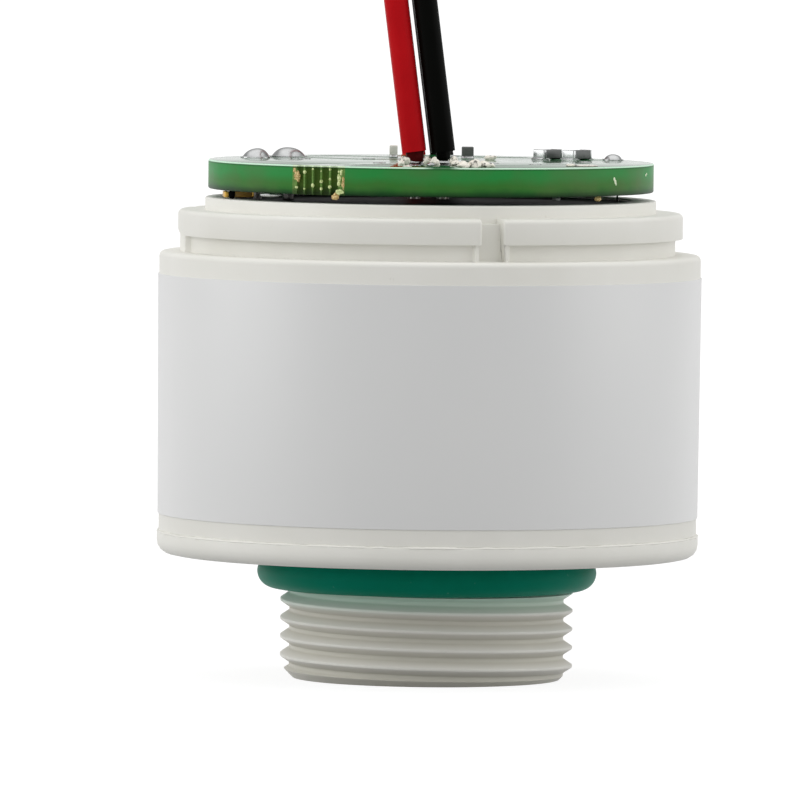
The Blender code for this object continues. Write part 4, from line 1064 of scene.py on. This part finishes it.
def vias(finish):
    """Small tinned rings with a dimple, where the board is drilled through."""
    spots = [(-3.4, 2.6), (-0.4, 3.9), (8.4, 0.6), (3.3, -3.2), (-2.8, -4.6), (1.2, 9.9), (-6.9, 1.9),
             (5.6, -5.0)]
    corners = [(0, board_top - 0.12 * MM, 0), (0.16 * MM, board_top - 0.12 * MM, 0.03 * MM),
               (0.2 * MM, board_top + 0.035 * MM, 0.03 * MM), (0.34 * MM, board_top + 0.03 * MM, 0.02 * MM),
               (0.36 * MM, board_top - 0.02 * MM, 0), (0, board_top - 0.14 * MM, 0)]
    first = turned("board_vias", corners, 24)
    parts = []
    for x, y in spots[1:]:
        copy = first.copy()
        copy.data = first.data.copy()
        bpy.context.scene.collection.objects.link(copy)
        parts.append(shift(copy, (x * MM, y * MM, 0)))
    shift(first, (spots[0][0] * MM, spots[0][1] * MM, 0))
    piece = join("board_vias", [first, *parts])
    return dress(piece, finish, "solder", smooth=50)


def solder_dome(name, node, seed, finish):
    """A drop of solder that wets its pad in a thin foot and rises to an uneven dome."""
    low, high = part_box(node)
    radius = (high.x - low.x) / 2
    height = high.z - low.z
    base = board_top + 0.005 * MM
    sphere = (radius * radius + height * height) / (2 * height)
    widest = math.asin(min(1.0, radius / sphere))
    if height > radius:
        widest = math.pi - widest
    points = [(0, base), (radius + 0.1 * MM, base), (radius + 0.09 * MM, base + 0.02 * MM)]
    steps = 14
    for step in range(steps + 1):
        angle = widest * (1 - step / steps)
        out = sphere * math.sin(angle) if step < steps else 0
        points.append((out, base + height - sphere * (1 - math.cos(angle))))
    piece = draw_outline(name, points)
    spin(SMALL_STEPS)
    close_up(piece)
    roughen(piece, radius * 1.1, radius * 0.1, seed)
    middle = (low + high) / 2
    shift(piece, (middle.x, middle.y, 0))
    return dress(piece, finish, "solder", node, smooth=60)


def chip(name, node, angle, finish, ends, solder, slot, far_end=0.25 * MM):
    """A chip part: ceramic body, its end caps, and on the top side solder ramps and the pads under them."""
    low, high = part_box(node)
    middle = (low + high) / 2
    spread = high - low
    c, s = abs(math.cos(angle)), abs(math.sin(angle))
    length = (spread.x * c - spread.y * s) / (c * c - s * s)
    width = (spread.y * c - spread.x * s) / (c * c - s * s)
    height = spread.z
    along = Vector((math.cos(angle), math.sin(angle), 0))
    parts = [block(name, middle, (length - 0.1 * MM, width - 0.05 * MM, height - 0.04 * MM), angle,
                   finish=finish)]
    for side, terminal in ((-1, 0.25 * MM), (1, far_end)):
        at = middle + along * side * (length - terminal) / 2
        parts.append(block("terminal", at, (terminal, width, height), angle, 0.05 * MM, 3, ends))
        if middle.z < board_base:
            continue
        reach = 0.14 * MM
        rise = height * 0.25
        toe = middle + along * side * (length + reach) / 2
        toe.z = board_top + rise / 2
        ramp = block("ramp", toe, (reach + 0.04 * MM, width - 0.04 * MM, rise), angle, 0.01 * MM, 1, solder)
        edit(ramp)
        edge = toe.dot(along * side)
        select_where(ramp, "verts", lambda vertex: vertex.co.dot(along * side) > edge and vertex.co.z > toe.z)
        bpy.ops.transform.translate(value=(0, 0, -rise * 0.75))
        leave_edit()
        parts.append(ramp)
        pad = middle + along * side * (length - terminal) / 2
        pad.z = board_top + 0.01 * MM
        parts.append(block("pad", pad, (terminal + 0.25 * MM, width + 0.04 * MM, 0.04 * MM), angle,
                           0.02 * MM, 2, solder))
    piece = join(name, parts)
    return dress(piece, None, slot, node, smooth=40)


def stranded_core(colour, spot, finish):
    """Seven tinned strands, six of them laid round the middle one."""
    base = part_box(colour + "_wire_core")[0].z
    tall = insulation_start + 0.25 * MM - base
    strand = 0.11 * MM
    parts = []
    for place in range(7):
        centre = polar(2 * strand, FULL_TURN * place / 6) if place < 6 else Vector((0, 0, 0))
        deselect()
        bpy.ops.mesh.primitive_circle_add(vertices=12, radius=strand, location=(0, 0, 0))
        made = bpy.context.object
        bpy.ops.object.mode_set(mode="EDIT")
        bpy.ops.mesh.select_all(action="SELECT")
        bpy.ops.transform.translate(value=centre + Vector((0, 0, base)))
        leave_edit()
        apply_modifier(made, "SCREW", axis="Z", angle=math.radians(200), screw_offset=tall, iterations=1,
                       steps=28,
                       render_steps=28)
        edit(made)
        close_up(made)
        parts.append(shift(made, (spot.x, spot.y, 0)))
    piece = join(colour + "_core_strands", parts)
    return dress(piece, finish, "tinned_copper", colour + "_wire_core", smooth=50)


def solder_joint(colour, spot, seed, finish):
    """The cone of solder that wets a core and its pad."""
    base = board_top + 0.005 * MM
    corners = [
        (0, base, 0), (0.66 * MM, base, 0), (0.62 * MM, base + 0.04 * MM, 0.02 * MM),
        (0.46 * MM, base + 0.12 * MM, 0.08 * MM), (0.4 * MM, base + 0.24 * MM, 0.05 * MM),
        (0, base + 0.27 * MM, 0),
    ]
    piece = turned(colour + "_joint", corners, SMALL_STEPS)
    roughen(piece, 0.4 * MM, 0.05 * MM, seed)
    shift(piece, (spot.x, spot.y, 0))
    return dress(piece, finish, "solder", colour + "_solder_joint", smooth=60)


def core_sleeve(colour, spot, radius, seed, finish):
    """A narrow sleeve of insulation round the core above the joint; the red one's dark red-brown is painted red
    reflection and shade on the stripped core.
    """
    base = board_top + 0.12 * MM
    top = insulation_start + 0.2 * MM
    corners = [(0.2 * MM, base, 0), (radius * 0.9, base, 0.08 * MM), (radius, base + 0.3 * MM, 0.1 * MM),
               (radius * 1.05, top, 0), (0.2 * MM, top, 0)]
    piece = turned(colour + "_core_sleeve", corners, SMALL_STEPS)
    roughen(piece, 0.4 * MM, 0.08 * MM, seed)
    shift(piece, (spot.x, spot.y, 0))
    return dress(piece, finish, colour + "_pvc", smooth=60)


def flux_residue(finish, solder):
    """Dried flux that stands round the leads and over the board's edge, and a few solder splashes in it."""
    patches = [
        ((-1.42, -7.9), (0.46, 0.5, 0.6), 15), ((-1.3, -11.7), (0.5, 0.5, 0.12), 17),
        ((-1.62, -8.6), (0.34, 0.4, 0.34), 18), ((-0.22, -7.7), (0.38, 0.4, 0.66), 31),
        ((0.12, -7.9), (0.42, 0.4, 0.6), 33), ((0.3, -8.6), (0.3, 0.4, 0.4), 37),
        ((1.22, -7.7), (0.42, 0.5, 0.62), 34), ((1.32, -8.8), (0.5, 0.5, 0.4), 39),
        ((1.75, -11.5), (0.8, 0.8, 0.4), 3), ((2.3, -11.4), (0.8, 0.8, 0.5), 6),
        ((2.8, -11.0), (0.7, 0.8, 0.44), 9), ((3.25, 3.6), (0.66, 0.5, 0.32), 12),
        ((8.3, -6.6), (1.3, 2.4, 0.1), 24), ((7.5, -7.2), (0.6, 1.0, 0.16), 27),
        ((3.2, -10.6), (0.4, 0.5, 0.26), 29),
    ]
    parts = []
    for (x, y), (long, wide, tall), seed in patches:
        spot = Vector((x * MM, y * MM, board_top + tall * 0.3 * MM))
        parts.append(lump("residue", spot, (long * MM, wide * MM, tall * MM), seed, 0.22))
    piece = join("flux_residue", parts)
    dress(piece, finish, "solder", smooth=60)
    splashes = [((-0.05, -8.9), (0.4, 0.5, 0.2), 41), ((1.5, -9.8), (0.36, 0.5, 0.16), 43),
                ((-0.9, -9.6), (0.7, 0.4, 0.1), 45)]
    parts = []
    for (x, y), (long, wide, tall), seed in splashes:
        spot = Vector((x * MM, y * MM, board_top + tall * 0.3 * MM))
        parts.append(lump("splash", spot, (long * MM, wide * MM, tall * MM), seed, 0.3))
    dress(join("solder_splashes", parts), solder, "solder", smooth=60)


# Plug on the leads' far ends

def plug(finish):
    """Two-way housing with a cavity for each contact, latch windows above them and two ribs."""
    low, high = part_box("plug_housing")
    middle = (low + high) / 2
    width = high.x - low.x
    length = high.y - low.y
    height = PLUG_HEIGHT
    core_z = PLUG_LIFT + height / 2
    piece = block("plug_housing_moulding", (middle.x, middle.y, core_z), (width, length, height), 0,
                  0.2 * MM, 4)
    rib_offset = (width - 0.9 * MM) / 2 - 0.2 * MM
    for side in (-1, 1):
        rib = block("rib", (middle.x + side * rib_offset, middle.y, high.z - 0.75 * MM),
                    (0.9 * MM, length - 0.8 * MM, 1.5 * MM), 0, 0.1 * MM, 3)
        combine(piece, rib, "UNION")
    for side in (-1, 1):
        x = middle.x + side * CONTACT_SPACING / 2
        cavity = block("cavity", (x, middle.y, core_z), (1.95 * MM, 2 * length, 2.1 * MM), 0, 0.08 * MM, 2)
        combine(piece, cavity, "DIFFERENCE")
        window = block("window", (x, middle.y, PLUG_LIFT + height), (1.2 * MM, 2.2 * MM, height - 1.5 * MM),
                       0,
                       0.05 * MM, 2)
        combine(piece, window, "DIFFERENCE")
    return dress(piece, finish, "white_nylon", "plug_housing")


# Floor, light and background

def stage():
    """Plain pale floor that shows white to the camera and keeps a faint shadow, and a white background."""
    deselect()
    bpy.ops.mesh.primitive_plane_add(size=6, location=(0, 0, -0.01 * MM))
    floor = bpy.context.object
    floor.name = "floor"
    made = bpy.data.materials.new("pale_floor")
    made.use_nodes = True
    made.node_tree.nodes.clear()
    add = partial(add_node, made.node_tree)
    ray = add("LightPath")
    seen = add("Math", {0: ray.outputs["Is Camera Ray"], 1: ray.outputs["Is Glossy Ray"]},
               operation="MAXIMUM")
    seen_too = add("Math", {0: seen, 1: ray.outputs["Is Transmission Ray"]}, operation="MAXIMUM")
    plain = add("BsdfDiffuse", {"Color": (0.4, 0.4, 0.4, 1)})
    faint = add("BsdfDiffuse", {"Color": (0.22, 0.22, 0.22, 1)})
    glow = add("Emission", {"Color": (1, 1, 1, 1), "Strength": 0.86})
    shown = add("AddShader", {0: faint, 1: glow})
    choice = add("MixShader", {0: seen_too, 1: plain, 2: shown})
    add("OutputMaterial", {"Surface": choice})
    floor.data.materials.append(made)


def world():
    """White tent: a soft sky, weaker behind the camera, seen as white and mirrored as white to grey."""
    made = bpy.data.worlds.new("white_tent")
    bpy.context.scene.world = made
    made.use_nodes = True
    made.node_tree.nodes.clear()
    add = partial(add_node, made.node_tree)
    ray = add("LightPath")
    place = add("TexCoord")
    way = add("SeparateXYZ", {0: place.outputs["Generated"]})
    rise = add("MapRange", {"Value": way.outputs[2], "From Min": 0.0, "From Max": 1.0, "To Min": 0.64,
                            "To Max": 1.28})
    front = add("MapRange", {"Value": way.outputs[1], "From Min": -1.0, "From Max": 0.2, "To Min": 0.85,
                             "To Max": 1.0})
    sky = add("Math", {0: rise, 1: front}, operation="MULTIPLY")
    low = add("MapRange", {"Value": way.outputs[2], "From Min": 0.0, "From Max": 0.3, "To Min": 1.0,
                           "To Max": 0.42})
    overhead = add("MapRange", {"Value": way.outputs[2], "From Min": 0.6, "From Max": 0.92, "To Min": 0.0,
                                "To Max": 0.95})
    glow = add("Math", {0: low, 1: overhead}, operation="ADD")
    light = add("Background", {"Color": (1, 1, 1, 1), "Strength": sky})
    mirrored = add("Background", {"Color": (1, 1, 1, 1), "Strength": glow})
    backdrop = add("Background", {"Color": (1, 1, 1, 1), "Strength": 1.0})
    seen = add("Math", {0: ray.outputs["Is Glossy Ray"], 1: ray.outputs["Is Transmission Ray"]},
               operation="MAXIMUM")
    first = add("MixShader", {0: seen, 1: light, 2: mirrored})
    second = add("MixShader", {0: ray.outputs["Is Camera Ray"], 1: first, 2: backdrop})
    add("OutputWorld", {"Surface": second})


def lamp(name, direction, strength, spread):
    """A broad far lamp that shines towards the object from a direction."""
    data = bpy.data.lights.new(name, "SUN")
    data.energy = strength
    data.angle = math.radians(spread)
    made = bpy.data.objects.new(name, data)
    bpy.context.scene.collection.objects.link(made)
    made.rotation_euler = Vector(direction).to_track_quat("Z", "Y").to_euler()


def lamps():
    """Broad side lamps: the left one is the stronger."""
    lamp("left_light", (-0.97, -0.12, 0.2), 1.0, 50)
    lamp("right_light", (0.97, -0.1, 0.2), 0.68, 50)


# Materials of the nodes that keep their solids

def dress_inner_nodes(finishes):
    for node, finish in finishes.items():
        shown = frame["nodes"][node]
        for place in range(len(shown.data.materials)):
            shown.data.materials[place] = finish
        if not shown.data.materials:
            shown.data.materials.append(finish)


def main():
    place_camera()
    plug(plain_moulding("moulded_white_nylon", "EDEBE2", "E2DFD4", 0.42))
    red_pvc = extruded_pvc("extruded_red_pvc", "CA161D", "B41219", "CE3A3E")
    black_pvc = extruded_pvc("extruded_black_pvc", "070806", "040403", "131412")
    flying_lead("red", RED_SPOT, -1, red_pvc)
    flying_lead("black", BLACK_SPOT, 1, black_pvc)

    white = moulded_abs("moulded_white_abs")
    can(white)
    cap(moulded_abs("moulded_threaded_abs", threaded=True))
    weld_bead(white)
    label(label_film())
    o_ring(green_o_ring_rubber())
    ptfe = fibrous_sheet("stretched_white_ptfe", "F4F4F2", "D9D9D5", 0.18, 0.8)
    gas_inlet(ptfe, white)
    potting(poured_epoxy())

    mask = solder_mask()
    torn = torn_laminate()
    solder = reflowed_solder()
    copper = tinned_copper()
    flux = dried_flux()
    board(mask, routed_laminate(), torn)
    amber = frayed_glass("frayed_amber_glass", "E8CF92", "9A7430")
    torn_ends(frayed_glass("frayed_pale_glass", "E6F0B4", "A9BE6E"), amber)
    dull_tin = plain_metal("dull_oxidised_tin", "8F9290", "5E615F", 0.1, 0.5, 0.7)
    edge_marks(frayed_glass("chipped_resin_white", "F6FBE2", "CFE3BA"), amber, solder, dull_tin, black_pvc)
    tracks(mask)
    vias(solder)
    solder_dome("anode_solder_dome", "anode_solder", 1, solder)
    solder_dome("cathode_solder_dome", "cathode_solder", 2, solder)
    solder_dome("test_pad_dome", "test_pad_solder", 3, solder)
    grey_glaze = fired_ceramic("glazed_grey_ceramic", "6A6C6B", "4B4D4C", 0.4)
    black_glass = fired_ceramic("fired_dark_glass", "5E605F", "3A3C3B", 0.45)
    pale_ceramic = fired_ceramic("fired_pale_ceramic", "F0EEE6", "D3D0C6", 0.45)
    amber_ceramic = fired_ceramic("fired_amber_ceramic", "E0AE4A", "B5842C", 0.4)
    turn = math.radians(50)
    chip("chip_resistor_1_part", "chip_resistor_1", turn, grey_glaze, solder, solder, "resistor_ceramic",
         0.12 * MM)
    chip("chip_resistor_2_part", "chip_resistor_2", turn, grey_glaze, solder, solder, "resistor_ceramic",
         0.12 * MM)
    turn = math.radians(90)
    chip("thermistor_part", "thermistor", turn, black_glass, dull_tin, solder, "thermistor_ceramic")
    chip("chip_capacitor_part", "chip_capacitor", turn, pale_ceramic, pale_ceramic, solder,
         "capacitor_ceramic")
    gold = plain_metal("worn_gold_plate", "D9B25A", "B98E3C", 0.1, 0.25, 0.45)
    chip("underside_capacitor_part", "underside_capacitor", math.radians(10), amber_ceramic, gold, solder,
         "capacitor_ceramic", 0.1 * MM)
    for colour, spot, seed in (("red", RED_SPOT, 7), ("black", BLACK_SPOT, 9)):
        stranded_core(colour, spot, copper)
        solder_joint(colour, spot, seed, solder)
    # Painted reflection: the red sleeve's dark red-brown stands for red reflection and shade on the stripped core.
    core_sleeve("red", RED_SPOT, 0.48 * MM, 11, extruded_pvc("painted_reflection_red_pvc", "5A1315", "300A09",
                                                              "6E3331"))
    core_sleeve("black", BLACK_SPOT, 0.37 * MM, 13, black_pvc)
    flux_residue(flux, solder)
    rubber = plain_moulding("moulded_black_rubber", "1B1C1C", "111212", 0.6)
    dress_inner_nodes({
        "membrane_gasket": rubber,
        "sensing_membrane": plain_moulding("cast_clear_film", "E6EAEC", "D8DDE0", 0.2, 0.6),
        "gold_cathode": plain_metal("gold_plated_cathode", "E8C465", "C99C3E", 0.12, 0.2, 0.35),
        "cathode_support": white,
        "separator": fibrous_sheet("felted_glass_paper", "EFEFEA", "CFCFC7", 0.12, 0.9),
        "lead_anode": plain_metal("rolled_lead_strip", "8C9096", "5C6067", 0.2, 0.45, 0.7),
        "anode_lead": plain_metal("drawn_titanium_wire", "A8A6A3", "878583", 0.08, 0.3, 0.45),
        "cathode_lead": plain_metal("drawn_titanium_lead", "A8A6A3", "878583", 0.08, 0.3, 0.45),
        "red_contact": copper,
        "black_contact": copper,
    })
    stage()
    world()
    lamps()
    bpy.context.scene.view_settings.view_transform = "Standard"


main()
